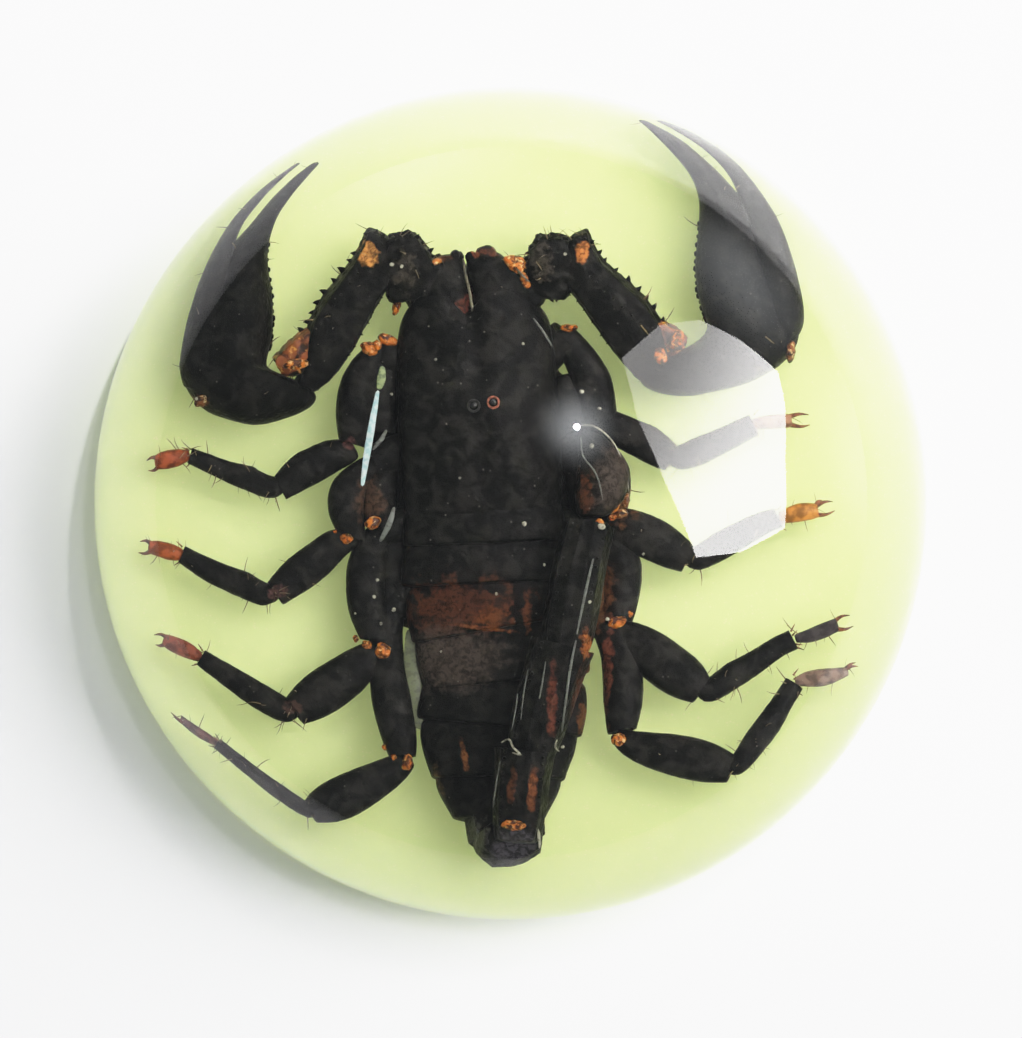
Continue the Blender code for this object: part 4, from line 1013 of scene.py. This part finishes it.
class Bench:
    """A new material's node tree, with short ways to lay its nodes."""

    def __init__(self, name, roughness=0.5, specular=0.15):
        self.material = bpy.data.materials.new(name)
        self.material.use_nodes = True
        self.tree = self.material.node_tree
        self.sockets = self.tree.nodes["Principled BSDF"].inputs
        self.sockets["Roughness"].default_value = roughness
        self.sockets["Specular IOR Level"].default_value = specular
        self.place = self.add("ShaderNodeTexCoord").outputs["Object"]

    def add(self, kind, **settings):
        """A node of a kind with some of its settings."""
        made = self.tree.nodes.new(kind)
        for name, value in settings.items():
            setattr(made, name, value)
        return made

    def join(self, source, target):
        """Link an output to an input, or set the input to a value."""
        if isinstance(source, bpy.types.NodeSocket):
            self.tree.links.new(source, target)
        elif target.type == "RGBA":
            target.default_value = (*source, 1.0)
        else:
            target.default_value = source

    def noise(self, size, detail=3.0, distortion=0.0):
        """Clouds with features of a size in millimetres."""
        made = self.add("ShaderNodeTexNoise")
        made.inputs["Scale"].default_value = 1.0 / (size * MM)
        made.inputs["Detail"].default_value = detail
        made.inputs["Distortion"].default_value = distortion
        self.join(self.place, made.inputs["Vector"])
        return made.outputs["Fac"]

    def cells(self, size):
        """The distance to the nearest of scattered points, for grains."""
        made = self.add("ShaderNodeTexVoronoi", feature="F1")
        made.inputs["Scale"].default_value = 1.0 / (size * MM)
        self.join(self.place, made.inputs["Vector"])
        return made.outputs["Distance"]

    def spread(self, source, low, high, first=0.0, last=1.0):
        """A smooth step of a value from one range to another."""
        made = self.add("ShaderNodeMapRange", interpolation_type="SMOOTHSTEP")
        self.join(source, made.inputs["Value"])
        for name, value in (("From Min", low), ("From Max", high), ("To Min", first), ("To Max", last)):
            made.inputs[name].default_value = value
        return made.outputs["Result"]

    def sum(self, a, b, operation="ADD"):
        """Two values added, or put together by another operation."""
        made = self.add("ShaderNodeMath", operation=operation)
        self.join(a, made.inputs[0])
        self.join(b, made.inputs[1])
        return made.outputs["Value"]

    def measure(self, source, operation="LENGTH", other=None):
        """A vector's length, or its dot product with another one."""
        made = self.add("ShaderNodeVectorMath", operation=operation)
        self.join(source, made.inputs[0])
        if other:
            made.inputs[1].default_value = other
        return made.outputs["Value"]

    def mix(self, first, second, factor):
        """Two colours mixed."""
        made = self.add("ShaderNodeMix", data_type="RGBA")
        self.join(factor, made.inputs["Factor"])
        self.join(first, made.inputs["A"])
        self.join(second, made.inputs["B"])
        return made.outputs["Result"]

    def patch(self, centre, reach, turn, ragged):
        """A mask that is 1 round a place (x, y) and fades out past a reach, in millimetres."""
        soft = 0.35
        middle_height, height_reach = 0.012, 0.03
        laid = self.add("ShaderNodeMapping", vector_type="TEXTURE")
        laid.inputs["Location"].default_value = (centre[0] * MM, centre[1] * MM, middle_height)
        laid.inputs["Rotation"].default_value = (0.0, 0.0, math.radians(turn))
        laid.inputs["Scale"].default_value = (reach[0] * MM, reach[1] * MM, height_reach)
        self.join(self.place, laid.inputs["Vector"])
        away = self.measure(laid.outputs["Vector"])
        wander = self.spread(self.noise(0.9, 2.0), 0.25, 0.75, -ragged, ragged)
        return self.spread(self.sum(away, wander), 1.0 - soft, 1.0 + soft, 1.0, 0.0)

    def bump(self, height, depth, normal=None):
        """Bump from a height, with its depth in millimetres."""
        made = self.add("ShaderNodeBump")
        made.inputs["Distance"].default_value = depth * MM
        made.inputs["Strength"].default_value = 1.0
        self.join(height, made.inputs["Height"])
        if normal is not None:
            self.join(normal, made.inputs["Normal"])
        return made.outputs["Normal"]

    def paint(self, base, roughness=None, normal=None):
        """Link the finished colour, roughness and bump to the shader."""
        for socket, source in (("Base Color", base), ("Roughness", roughness), ("Normal", normal)):
            if source is not None:
                self.join(source, self.sockets[socket])
        return self.material


def glow_finish(settings):
    """Poured glow resin: pale yellow-green, clouded, with fine pigment grains, and an afterglow that is
    partly real and partly painted fill light.
    """
    bench = Bench("glow_resin", 0.45, 0.2)
    clouds = bench.spread(bench.noise(14.0, 3.0), 0.3, 0.7)
    base = bench.mix(settings.colour, dimmed(settings.colour, 0.93), clouds)
    grain = bench.spread(bench.cells(0.32), 0.10, 0.32, 1.0, 0.0)
    speckle = bench.sum(grain, bench.spread(bench.noise(0.8, 2.0), 0.45, 0.65), "MULTIPLY")
    base = bench.mix(base, settings.pigment, speckle)
    # The afterglow, made strong enough to fill the limbs' shadows: partly painted light.
    bench.sockets["Emission Color"].default_value = (*settings.glow, 1.0)
    bench.sockets["Emission Strength"].default_value = settings.afterglow_and_fill_strength
    relief = bench.bump(bench.noise(0.25, 2.0), 0.02)
    return bench.paint(base, bench.spread(bench.noise(3.0), 0.3, 0.7, 0.40, 0.52), relief)


def clear_finish(settings):
    """Polished clear resin, see-through by plain transmission."""
    bench = Bench("clear_resin", 0.0, 0.5)
    bench.sockets["Transmission Weight"].default_value = 1.0
    bench.sockets["IOR"].default_value = settings.ior
    bench.sockets["Base Color"].default_value = (*settings.tint, 1.0)
    return bench.material


def shell_finish(name, patches=(), grain=0.45, relief=0.02, painted_reflection_lift=1.0):
    """Dried black shell: mottled, finely grained, with patches where it is thin and shows brown, and
    lightened as a whole by a lift that is a painted reflection.
    """
    settings = bpy.context.scene.scorpion
    bench = Bench(name, 0.5, 0.06)
    mottling = bench.spread(bench.noise(1.6, 6.0, 0.6), 0.40, 0.66)
    base = bench.mix(dimmed(settings.shell, painted_reflection_lift), dimmed(settings.shell_pale, painted_reflection_lift), mottling)
    for centre, reach, turn, tone, ragged in patches:
        thin = bench.spread(bench.noise(0.5, 4.0, 0.8), 0.36, 0.6, 0.3, 1.0)
        mask = bench.sum(bench.patch(centre, reach, turn, ragged), thin, "MULTIPLY")
        base = bench.mix(base, tone, mask)
    # Small pale specks scattered at random over the shell.
    pale_specks = bench.spread(bench.cells(0.8), 0.0, 0.16, 1.0, 0.0)
    chance = bench.spread(bench.noise(1.3, 1.0), 0.54, 0.60)
    base = bench.mix(base, (0.13, 0.12, 0.10), bench.sum(pale_specks, chance, "MULTIPLY"))
    grains = bench.bump(bench.spread(bench.cells(grain), 0.1, 0.6, 1.0, 0.0), relief)
    folds = bench.bump(bench.noise(0.7, 4.0, 0.6), 0.16, grains)
    fine = bench.bump(bench.noise(0.18, 3.0), 0.6 * relief, folds)
    wear = bench.spread(bench.noise(1.1, 4.0), 0.35, 0.65, 0.36, 0.55)
    return bench.paint(base, wear, fine)


def skin_finish(name, tone, deep, light, size=0.6):
    """Dried joint skin: creased and partly see-through, from deep brown to cream, with the light patches a
    painted highlight.
    """
    bench = Bench(name, 0.4, 0.25)
    bench.sockets["Subsurface Weight"].default_value = 0.25
    bench.sockets["Subsurface Radius"].default_value = (1.0, 0.4, 0.15)
    bench.sockets["Subsurface Scale"].default_value = 0.4 * MM
    folds = bench.noise(size, 4.0, 0.8)
    base = bench.mix(deep, tone, bench.spread(folds, 0.42, 0.56))
    # The light tone, laid on in small patches by noise, is painted highlight.
    base = bench.mix(base, light, bench.spread(bench.noise(0.6 * size, 3.0, 0.5), 0.58, 0.68))
    return bench.paint(base, bench.spread(folds, 0.3, 0.7, 0.3, 0.55), bench.bump(folds, 0.15))


def plain_finish(name, tone, other, size=0.5, roughness=0.4, specular=0.2, relief=0.04):
    """A small part's finish: two tones in soft clouds."""
    bench = Bench(name, roughness, specular)
    clouds = bench.noise(size, 3.0)
    base = bench.mix(tone, other, bench.spread(clouds, 0.4, 0.62))
    wear = bench.spread(clouds, 0.3, 0.7, 0.8 * roughness, 1.2 * roughness)
    return bench.paint(base, wear, bench.bump(clouds, relief))


def glowing(name, tone, strength, reach=None, rise=None):
    """A light's finish: it fades out within a reach in metres, or grows along a direction."""
    bench = Bench(name, 1.0, 0.0)
    bench.sockets["Base Color"].default_value = (0.0, 0.0, 0.0, 1.0)
    bench.sockets["Emission Color"].default_value = (*tone, 1.0)
    power = strength
    if reach:
        fade = bench.sum(bench.spread(bench.measure(bench.place), 0.0, reach, 1.0, 0.0), 2.0, "POWER")
        power = bench.sum(bench.sum(fade, strength, "MULTIPLY"), bpy.context.scene.studio.room_light)
    elif rise:
        along = bench.measure(bench.place, "DOT_PRODUCT", rise)
        power = bench.spread(along, 0.3, 0.85, 0.38 * strength, 1.45 * strength)
    bench.join(power, bench.sockets["Emission Strength"])
    return bench.material


# Operators, one for each piece or group of like pieces.

class DOME_OT_glow_layer(bpy.types.Operator):
    """Model the poured glow layer with its rounded foot"""

    bl_idname = "dome.glow_layer"
    bl_label = "Glow layer"

    def execute(self, context):
        settings = context.scene.glow_layer
        top = settings.thickness
        put_down()
        bpy.ops.mesh.primitive_cylinder_add(
            vertices=256, radius=settings.radius, depth=top, location=(0.0, 0.0, 0.5 * top),
        )
        piece = named("glow_layer")
        settle(piece)
        open_up()
        pick(piece, lambda co: co.z < TOLERANCE)
        bpy.ops.mesh.bevel(offset=settings.rounding, segments=8, affect="EDGES")
        pick(piece, lambda co: co.z > top - TOLERANCE)
        bpy.ops.mesh.inset(thickness=0.4 * MM)
        bpy.ops.mesh.inset(thickness=6.0 * MM)
        pick(piece, lambda co: co.z < TOLERANCE)
        bpy.ops.mesh.inset(thickness=1.0 * MM)
        turn_out()
        bpy.ops.object.shade_smooth_by_angle(angle=math.radians(40.0))
        piece.data.materials.append(glow_finish(settings))
        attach(piece, "root")
        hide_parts("glow_base")
        return {"FINISHED"}


class DOME_OT_clear_dome(bpy.types.Operator):
    """Model the clear casting as one closed dome"""

    bl_idname = "dome.clear_dome"
    bl_label = "Clear dome"

    def execute(self, context):
        settings = context.scene.clear_dome
        floor = (0.0, 0.0, context.scene.glow_layer.thickness)
        sunk = 0.05 * MM
        put_down()
        bpy.ops.mesh.primitive_uv_sphere_add(
            segments=288, ring_count=176, radius=settings.radius, location=floor,
        )
        piece = named("clear_dome")
        settle(piece)
        open_up()
        bpy.ops.mesh.select_all(action="SELECT")
        resize(1.0, 1.0, (settings.top - floor[2]) / settings.radius, floor)
        bpy.ops.mesh.bisect(plane_co=floor, plane_no=UP, clear_inner=True, use_fill=True)
        pick(piece, lambda co: co.z < floor[2] + 0.1 * TOLERANCE)
        bpy.ops.transform.translate(value=(0.0, 0.0, -sunk))
        turn_out()
        bpy.ops.object.shade_smooth_by_angle(angle=math.radians(60.0))
        piece.data.materials.append(clear_finish(settings))
        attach(piece, "root")
        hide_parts("resin_lower", "resin_upper")
        return {"FINISHED"}


class DOME_OT_carapace(bpy.types.Operator):
    """Model the shield over the head with its furrows, notch and eyes"""

    bl_idname = "dome.carapace"
    bl_label = "Carapace"

    def execute(self, context):
        stations = eased(from_slices(CARAPACE), 17)
        piece = draw_out("carapace", stations, sides=28, square=1.04, crisp=(0.5, 0.4))
        smooth_out(piece, 1)
        notch = [(-3.9, 18.9, 12.4), (-3.9, 18.0, 13.0)]
        press(piece, notch, (0.0, -2.2, -0.3), 1.7)
        for start, end, count, depth, reach in FURROWS:
            press(piece, along_line(start, end, count), (0.0, 0.0, -depth), reach)
        eye_mound = [(-3.1, 8.9, 14.7), (-1.9, 8.9, 14.7)]
        press(piece, eye_mound, (0.0, 0.0, 0.4), 1.6)
        smooth_out(piece, 1)
        roughen(piece, 2.6, 0.10)
        piece.data.materials.append(shell_finish("carapace_shell"))
        belongs(join_up("carapace", [piece, *self.eyes(surface_of([piece]))]))
        return {"FINISHED"}

    def eyes(self, tree):
        """Both eyes, each a glossy bead in a thin rim."""
        lens = plain_finish(
            "eye_lens", (0.004, 0.004, 0.004), (0.012, 0.010, 0.009), roughness=0.12, specular=0.5,
        )
        parts = []
        for name, ((x, y), tone, deep) in EYES.items():
            top = top_of(tree, x, y)
            parts.append(bead(name, (x, y, top - 0.08), (0.8, 0.8, 0.6), finish=lens, ragged=0.02))
            turns = [math.radians(30.0 * step) for step in range(13)]
            circle = [(x + 0.5 * math.cos(t), y + 0.5 * math.sin(t), top + 0.06, 0.2) for t in turns]
            parts.append(wire(f"{name}_rim", circle, plain_finish(f"{name}_rim", tone, deep, 0.3)))
        return parts


class DOME_OT_chelicerae(bpy.types.Operator):
    """Model the two small jaws in front of the carapace"""

    bl_idname = "dome.chelicerae"
    bl_label = "Chelicerae"

    def execute(self, context):
        finish = shell_finish("jaw_shell", JAW_PATCHES)
        for name, slices in CHELICERAE.items():
            body = shell_part(name, eased(from_slices(slices), 11), 2, 1.0, 0.16, sides=20, square=1.09)
            parts = [body]
            for number, (x, y, z, *size) in enumerate(JAW_KNOBS[name], 1):
                parts.append(bead(f"{name}_knob_{number}", (x, y, z), size, ragged=0.22))
            row = [(TEETH_SIDES[name], y, TEETH_HEIGHT) for y in TEETH_ROW]
            parts.append(scatter(f"{name}_teeth", "spine", studs(surface_of([body]), row, 0.34, 0.42)))
            belongs(join_up(name, parts), finish)
        return {"FINISHED"}


class DOME_OT_hind_body(bpy.types.Operator):
    """Model the seven overlapping plates of the back"""

    bl_idname = "dome.hind_body"
    bl_label = "Hind body"

    def execute(self, context):
        finish = shell_finish("back_shell", BODY_PATCHES)
        front = CARAPACE[-2]
        before = (front[0], front[1], front[2], front[4])
        plates = []
        for number, tergite in enumerate(TERGITES, 1):
            plates.append(shell_part(
                f"tergite_{number}", self.stations(before, tergite), 2, 2.4, 0.18,
                sides=28, square=1.04, keels=((90.0, 1.02),), crease=0.3,
            ))
            before = tergite
        hips = eased(from_slices(HIP_FIELD), 17)
        field = shell_part("hip_field", hips, 2, 1.8, 0.5, sides=24, square=1.1)
        belongs(join_up("tergites", [*plates, field]), finish)
        return {"FINISHED"}

    def stations(self, before, tergite):
        """A plate's stations, from under the plate before it to its own rounded rear edge."""
        front, left, right, top = before
        rear, rear_left, rear_right, rear_top = tergite
        return from_slices([
            (front + 1.4, left + 0.7, right - 0.7, 7.6, top - 0.9),
            (front + 0.1, left + 0.35, right - 0.35, 7.0, top - 0.4),
            (
                0.6 * front + 0.4 * rear, 0.6 * left + 0.4 * rear_left, 0.6 * right + 0.4 * rear_right,
                6.8, 0.6 * top + 0.4 * rear_top - 0.12,
            ),
            (rear + 0.45, rear_left, rear_right, 6.8, rear_top + 0.02),
            (rear + 0.1, rear_left + 0.05, rear_right - 0.05, 6.9, rear_top + 0.04),
            (rear - 0.15, rear_left + 0.5, rear_right - 0.5, 7.4, rear_top - 0.5),
        ])


class DOME_OT_palps(bpy.types.Operator):
    """Model the two spiny arms with their claws"""

    bl_idname = "dome.palps"
    bl_label = "Arms and claws"

    def execute(self, context):
        finish = shell_finish("palp_shell", PALP_PATCHES, grain=0.5, relief=0.035)
        # The wrist skin's light orange tone is painted highlight.
        skin = skin_finish(
            "wrist_skin", (0.30, 0.085, 0.025), (0.035, 0.015, 0.010), (0.70, 0.34, 0.08), 1.4,
        )
        for name, arm in ARMS.items():
            parts = []
            for part, stations in arm.items():
                piece = limb_part(
                    f"{name}_{part}", stations, neck=0.8, rough=0.6 if part == "femur" else 0.34,
                    sides=16, square=1.1, keels=ARM_KEELS, crease=0.5,
                )
                paint_over(piece, skin if part == "wrist" else finish)
                parts.append(piece)
            claw = []
            for part, slices in CLAWS[name].items():
                piece = shell_part(f"{name}_{part}", eased(from_slices(slices), 30), 1, 1.4, 0.09, sides=18)
                paint_over(piece, finish)
                claw.append(piece)
            arm_tree = surface_of(parts)
            spines = []
            for line, count, size in SPINES[name]:
                spines += studs(arm_tree, eased(line, count), 0.95 * size, size)
            grains = studs(surface_of(claw[:1]), eased(CLAW_EDGES[name], 16), 0.62, 0.42, 0.35)
            thorns = scatter(f"{name}_spines", "spine", spines)
            beads = scatter(f"{name}_grains", "grain", grains)
            paint_over(thorns, finish)
            paint_over(beads, finish)
            belongs(join_up(name, [*parts, *claw, thorns, beads]))
        return {"FINISHED"}


class DOME_OT_legs(bpy.types.Operator):
    """Model the eight walking legs, each from its hip to the hooks on its foot"""

    bl_idname = "dome.legs"
    bl_label = "Legs"

    def execute(self, context):
        # The legs' shell is painted half again as light, a painted reflection of the window light.
        finish = shell_finish("leg_shell", LEG_PATCHES, painted_reflection_lift=1.5)
        hook = plain_finish("foot_hook", (0.26, 0.10, 0.04), (0.10, 0.04, 0.02))
        for name, leg in LEGS.items():
            tone = leg["tone"]
            foot_finish = plain_finish(f"{name}_foot", tone, dimmed(tone, 0.45), 0.9, relief=0.08)
            parts = self.shell(name, leg, finish, foot_finish)
            knee = (*leg["shin"][0][:2], 9.1)
            parts.append(bead(f"{name}_knee", knee, (1.5, 1.5, 1.4), finish=finish))
            belongs(join_up(name, [*parts, *self.hooks(name, leg, hook)]))
        return {"FINISHED"}

    def shell(self, name, leg, finish, foot_finish):
        """The leg's seven hard parts."""
        flats = {
            "coxa": [(*leg["hip"], COXA_WIDTH), (*leg["femur"][0][:2], 0.9 * COXA_WIDTH)],
            "trochanter": leg["trochanter"],
            "femur": leg["femur"],
            "patella": leg["patella"],
            "tibia": leg["shin"][:3],
            "basitarsus": leg["shin"][2:],
            "foot": leg["foot"],
        }
        parts = []
        for part, flat in flats.items():
            low, high, depth = LEG_PARTS[part]
            last = len(flat) - 1
            stations = [
                (x, y, low + (high - low) * index / last, width, width * depth)
                for index, (x, y, width) in enumerate(flat)
            ]
            piece = limb_part(
                f"{name}_{part}", stations, neck=0.85 if part == "basitarsus" else 0.62, rough=0.08,
                square=1.05, socket=0.1 if part == "foot" else 0.25,
            )
            paint_over(piece, foot_finish if part == "foot" else finish)
            parts.append(piece)
        return parts

    def hooks(self, name, leg, finish):
        """The bent hooks at the foot's tip and the short spurs round the ankle."""
        x, y, width = leg["foot"][-1]
        toe = Vector((x, y))
        along = (toe - Vector(leg["foot"][-2][:2])).normalized()
        aside = Vector((-along.y, along.x))
        parts = []
        for number, claw in enumerate(leg["claws"], 1):
            tip = Vector(claw)
            side = 0.3 * width * (1.0 if along.cross(tip - toe) > 0.0 else -1.0)
            root = toe - along * 0.3 + aside * side
            middle = root.lerp(tip, 0.55) + aside * side * 0.5
            points = [(*root, 7.4, 0.5), (*middle, 7.5, 0.3), (*claw, 7.1, 0.08)]
            parts.append(wire(f"{name}_hook_{number}", points, finish))
        ankle = Vector(leg["shin"][-1][:2])
        across = aside * 0.5 * leg["shin"][-1][2]
        for number, side in enumerate((1.0, 0.5, -0.6, -1.0), 1):
            root = ankle + across * side * 0.8
            tip = ankle + across * side * 1.35 + along * 0.6
            points = [(*root, 7.9, 0.2), (*root.lerp(tip, 0.6), 7.9, 0.12), (*tip, 7.8, 0.05)]
            parts.append(wire(f"{name}_spur_{number}", points, finish))
        return parts


class DOME_OT_joint_skins(bpy.types.Operator):
    """Model the orange and cream skin and knobs that show at the joints"""

    bl_idname = "dome.joint_skins"
    bl_label = "Joint skins"

    def execute(self, context):
        orange = context.scene.scorpion.joint
        # The light cream and tan tones of both skins are painted highlight.
        bright = skin_finish("joint_skin", orange, (0.07, 0.022, 0.010), (0.85, 0.52, 0.22))
        brown = skin_finish("knob_skin", (0.20, 0.07, 0.02), (0.03, 0.013, 0.008), (0.62, 0.42, 0.20))
        for name, lumps in JOINT_SKINS.items():
            parts = []
            for number, (x, y, z, *size, turn) in enumerate(lumps, 1):
                parts.append(bead(f"{name}_skin_{number}", (x, y, z), size, turn, ragged=0.5))
            belongs(join_up(f"{name}_skins", parts), brown if name == "knobs" else bright)
        return {"FINISHED"}


class DOME_OT_tail(bpy.types.Operator):
    """Model the keeled tail that is folded forward over the back, with its sting"""

    bl_idname = "dome.tail"
    bl_label = "Tail"

    def execute(self, context):
        finish = shell_finish("tail_shell", TAIL_PATCHES)
        parts = []
        for name, stations in TAIL.items():
            parts.append(limb_part(
                f"tail_{name}", stations, neck=0.85, rough=0.12, rings=12, sides=24,
                keels=TAIL_KEELS, crease=0.75, crisp=0.9, socket=0.5,
            ))
        parts.append(shell_part("tail_vesicle", eased(VESICLE, 12), 2, 0.7, 0.14, sides=16))
        tree = surface_of(parts)
        grains = []
        for name, shift in TAIL_GRAINS:
            line = [(x + shift, y, z + 2.0) for x, y, z, _, _ in TAIL[name]]
            grains += studs(tree, eased(line, 15), 0.36, 0.26, 0.3)
        parts.append(scatter("tail_grains", "grain", grains))
        parts.append(wire("sting", STING))
        belongs(join_up("tail", parts), finish)
        return {"FINISHED"}


class DOME_OT_air_films(bpy.types.Operator):
    """Model the thin films of air round the specimen, the small pale flecks, a pale strip of painted
    highlight and a dull green strip of painted shade
    """

    bl_idname = "dome.air_films"
    bl_label = "Air films"

    def execute(self, context):
        finishes = {}
        for tone, (light, deep) in AIR_TONES.items():
            finishes[tone] = plain_finish(f"air_{tone}", light, deep, 0.5, 0.3, 0.3)
        parts = []
        for number, (tone, width, depth, points) in enumerate(AIR_FILMS, 1):
            shares = [0.5, *[1.0] * (len(points) - 2), 0.5]
            if len(points) > 4 or depth == width:
                course = [(*point, width * part) for point, part in zip(points, shares)]
                piece = wire(f"film_{number}", course)
            else:
                course = [(*point, width * part, depth * part) for point, part in zip(points, shares)]
                piece = shell_part(f"film_{number}", eased(course, 9), 1, 0.4, 0.25 * depth, sides=8)
            paint_over(piece, finishes[tone])
            parts.append(piece)
        chance = random.Random(3)
        for number, (x, y, z, size) in enumerate(FLECKS, 1):
            sizes = (size, size * chance.uniform(0.7, 1.4), 0.6 * size)
            turn = chance.uniform(0.0, 180.0)
            parts.append(bead(f"fleck_{number}", (x, y, z), sizes, turn, finishes["pale"], 0.5))
        belongs(join_up("air_films", parts))
        return {"FINISHED"}


class DOME_OT_hairs(bpy.types.Operator):
    """Model the fine pale hairs on the arms and legs"""

    bl_idname = "dome.hairs"
    bl_label = "Hairs"

    def execute(self, context):
        settings = context.scene.scorpion
        chance = random.Random(11)
        middle, body_reach, claws_start = -2.7, 13.0, 19.0
        roots = []
        for name in (*LEGS, *ARMS):
            for face in bpy.data.objects[name].data.polygons:
                x, y, _ = face.center / MM
                if abs(x - middle) > body_reach or y > claws_start:
                    roots.append((face.center / MM, face.normal.copy()))
        stands = []
        for centre, normal in chance.sample(roots, settings.hairs):
            lean = normal + Vector([chance.uniform(-0.5, 0.5) for _ in range(3)])
            long = settings.hair_length / MM * chance.uniform(0.35, 1.0)
            stands.append(stand_at(centre - 0.05 * normal, lean, long, long, chance.uniform(0.0, 6.0)))
        tone = settings.hair
        belongs(scatter("hairs", "hair", stands), plain_finish("hair", tone, dimmed(tone, 0.5), 1.5))
        return {"FINISHED"}


class DOME_OT_studio(bpy.types.Operator):
    """Set the pale table, the lights and the camera straight above"""

    bl_idname = "dome.studio"
    bl_label = "Studio"

    def execute(self, context):
        settings = context.scene.studio
        self.set_table(settings)
        world = bpy.data.worlds.new("room")
        world.use_nodes = True
        light = world.node_tree.nodes["Background"]
        light.inputs["Color"].default_value = (0.90, 0.96, 1.0, 1.0)
        light.inputs["Strength"].default_value = settings.room_light
        context.scene.world = world
        self.add_disk("lamp", LAMP, 0.024, (1.0, 0.985, 0.96), settings.lamp_power)
        self.add_disk("ceiling", CEILING, 2.6, (0.97, 0.99, 1.0), settings.ceiling_power)
        pool = self.add_light("pool", "SPOT", POOL_LAMP, POOL, (1.0, 0.99, 0.97), settings.pool_power)
        pool.spot_size = math.radians(21.0)
        pool.spot_blend = 1.0
        pool.shadow_soft_size = 0.03
        for name in ("ceiling", "pool"):
            bpy.data.objects[name].visible_glossy = False
        self.set_window(settings)
        self.set_glow("halo", HALO, 0.22, settings.halo_light)
        for name, (place, reach, part) in WALLS.items():
            self.set_glow(name, place, reach, part * settings.wall_light)
        self.set_camera(context.scene)
        return {"FINISHED"}

    def set_table(self, settings):
        """The table, a wide round plate just under the dome."""
        put_down()
        bpy.ops.mesh.primitive_circle_add(
            vertices=96, radius=TABLE_RADIUS, fill_type="NGON", location=(0.0, 0.0, -0.02 * MM),
        )
        table = named("table")
        settle(table)
        bench = Bench("table_paint", 0.7, 0.2)
        tone = bench.mix(settings.table, dimmed(settings.table, 0.98), bench.noise(40.0))
        table.data.materials.append(bench.paint(tone))

    def add_light(self, name, kind, place, target, tone, power):
        """A light that is aimed at a place."""
        light = bpy.data.lights.new(name, kind)
        light.color = tone
        light.energy = power
        item = bpy.data.objects.new(name, light)
        bpy.context.scene.collection.objects.link(item)
        item.location = place
        item.rotation_euler = (Vector(target) - Vector(place)).to_track_quat("-Z", "Y").to_euler()
        return light

    def add_disk(self, name, place, size, tone, power):
        """A round lamp that is aimed at the dome."""
        light = self.add_light(name, "AREA", place, ORIGIN, tone, power)
        light.shape = "DISK"
        light.size = size

    def set_window(self, settings):
        """The large soft light that the dome mirrors at the right."""
        bpy.ops.mesh.primitive_circle_add(vertices=len(WINDOW), radius=1.0, fill_type="NGON")
        window = named("window")
        for vertex, place in zip(window.data.vertices, WINDOW):
            vertex.co = place
        window.data.materials.append(glowing(
            "window_light", (1.0, 0.985, 0.98), settings.window_light, rise=(1.0, -0.5, 0.0),
        ))

    def set_glow(self, name, place, reach, light):
        """A soft disc that faces the dome and fades out towards its edge."""
        bpy.ops.mesh.primitive_circle_add(vertices=48, radius=reach, fill_type="NGON", location=place)
        disc = named(name)
        disc.rotation_euler = (-Vector(place)).to_track_quat("Z", "Y").to_euler()
        disc.data.materials.append(glowing(f"{name}_light", (0.94, 0.97, 1.0), light, reach))

    def set_camera(self, scene):
        """The camera straight above, and the way bright tones roll off."""
        view = bpy.data.cameras.new("camera")
        view.sensor_width = 36.0
        view.lens = LENS
        camera = bpy.data.objects.new("camera", view)
        camera.location = CAMERA
        scene.collection.objects.link(camera)
        scene.camera = camera
        scene.cycles.denoising_prefilter = "FAST"
        tones = scene.view_settings
        tones.view_transform = "Standard"
        tones.use_curve_mapping = True
        tones.curve_mapping.white_level = (WHITE_LEVEL, WHITE_LEVEL, WHITE_LEVEL)
        points = tones.curve_mapping.curves[3].points
        for light_in, light_out in ROLL_OFF:
            points.new(light_in, light_out)
        points[len(points) - 1].location = ROLL_END
        tones.curve_mapping.update()


class DOME_PT_panel(bpy.types.Panel):
    """The steps of the model, in the 3D view's sidebar"""

    bl_idname = "DOME_PT_panel"
    bl_label = "Scorpion Dome"
    bl_space_type = "VIEW_3D"
    bl_region_type = "UI"
    bl_category = "Scorpion Dome"

    def draw(self, context):
        layout = self.layout
        for name in SETTINGS:
            box = layout.box()
            box.label(text=name.replace("_", " ").capitalize())
            group = getattr(context.scene, name)
            for field in group.bl_rna.properties.keys():
                if field not in ("rna_type", "name"):
                    box.prop(group, field)
        for step in STEPS:
            layout.operator(step.bl_idname)


SETTINGS = {
    "glow_layer": GlowLayerSettings,
    "clear_dome": ClearDomeSettings,
    "scorpion": ScorpionSettings,
    "studio": StudioSettings,
}
STEPS = (
    DOME_OT_glow_layer,
    DOME_OT_carapace,
    DOME_OT_chelicerae,
    DOME_OT_hind_body,
    DOME_OT_palps,
    DOME_OT_legs,
    DOME_OT_joint_skins,
    DOME_OT_tail,
    DOME_OT_air_films,
    DOME_OT_hairs,
    DOME_OT_clear_dome,
    DOME_OT_studio,
)


def register():
    """Register the settings, operators and panel."""
    for name, group in SETTINGS.items():
        bpy.utils.register_class(group)
        setattr(bpy.types.Scene, name, bpy.props.PointerProperty(type=group))
    for step in STEPS:
        bpy.utils.register_class(step)
    bpy.utils.register_class(DOME_PT_panel)


def unregister():
    """Take the panel, operators and settings away again."""
    bpy.utils.unregister_class(DOME_PT_panel)
    for step in reversed(STEPS):
        bpy.utils.unregister_class(step)
    for name, group in reversed(SETTINGS.items()):
        delattr(bpy.types.Scene, name)
        bpy.utils.unregister_class(group)


def main():
    """Build every piece in order."""
    register()
    for step in STEPS:
        space, call = step.bl_idname.split(".")
        getattr(getattr(bpy.ops, space), call)()


if __name__ == "__main__":
    main()
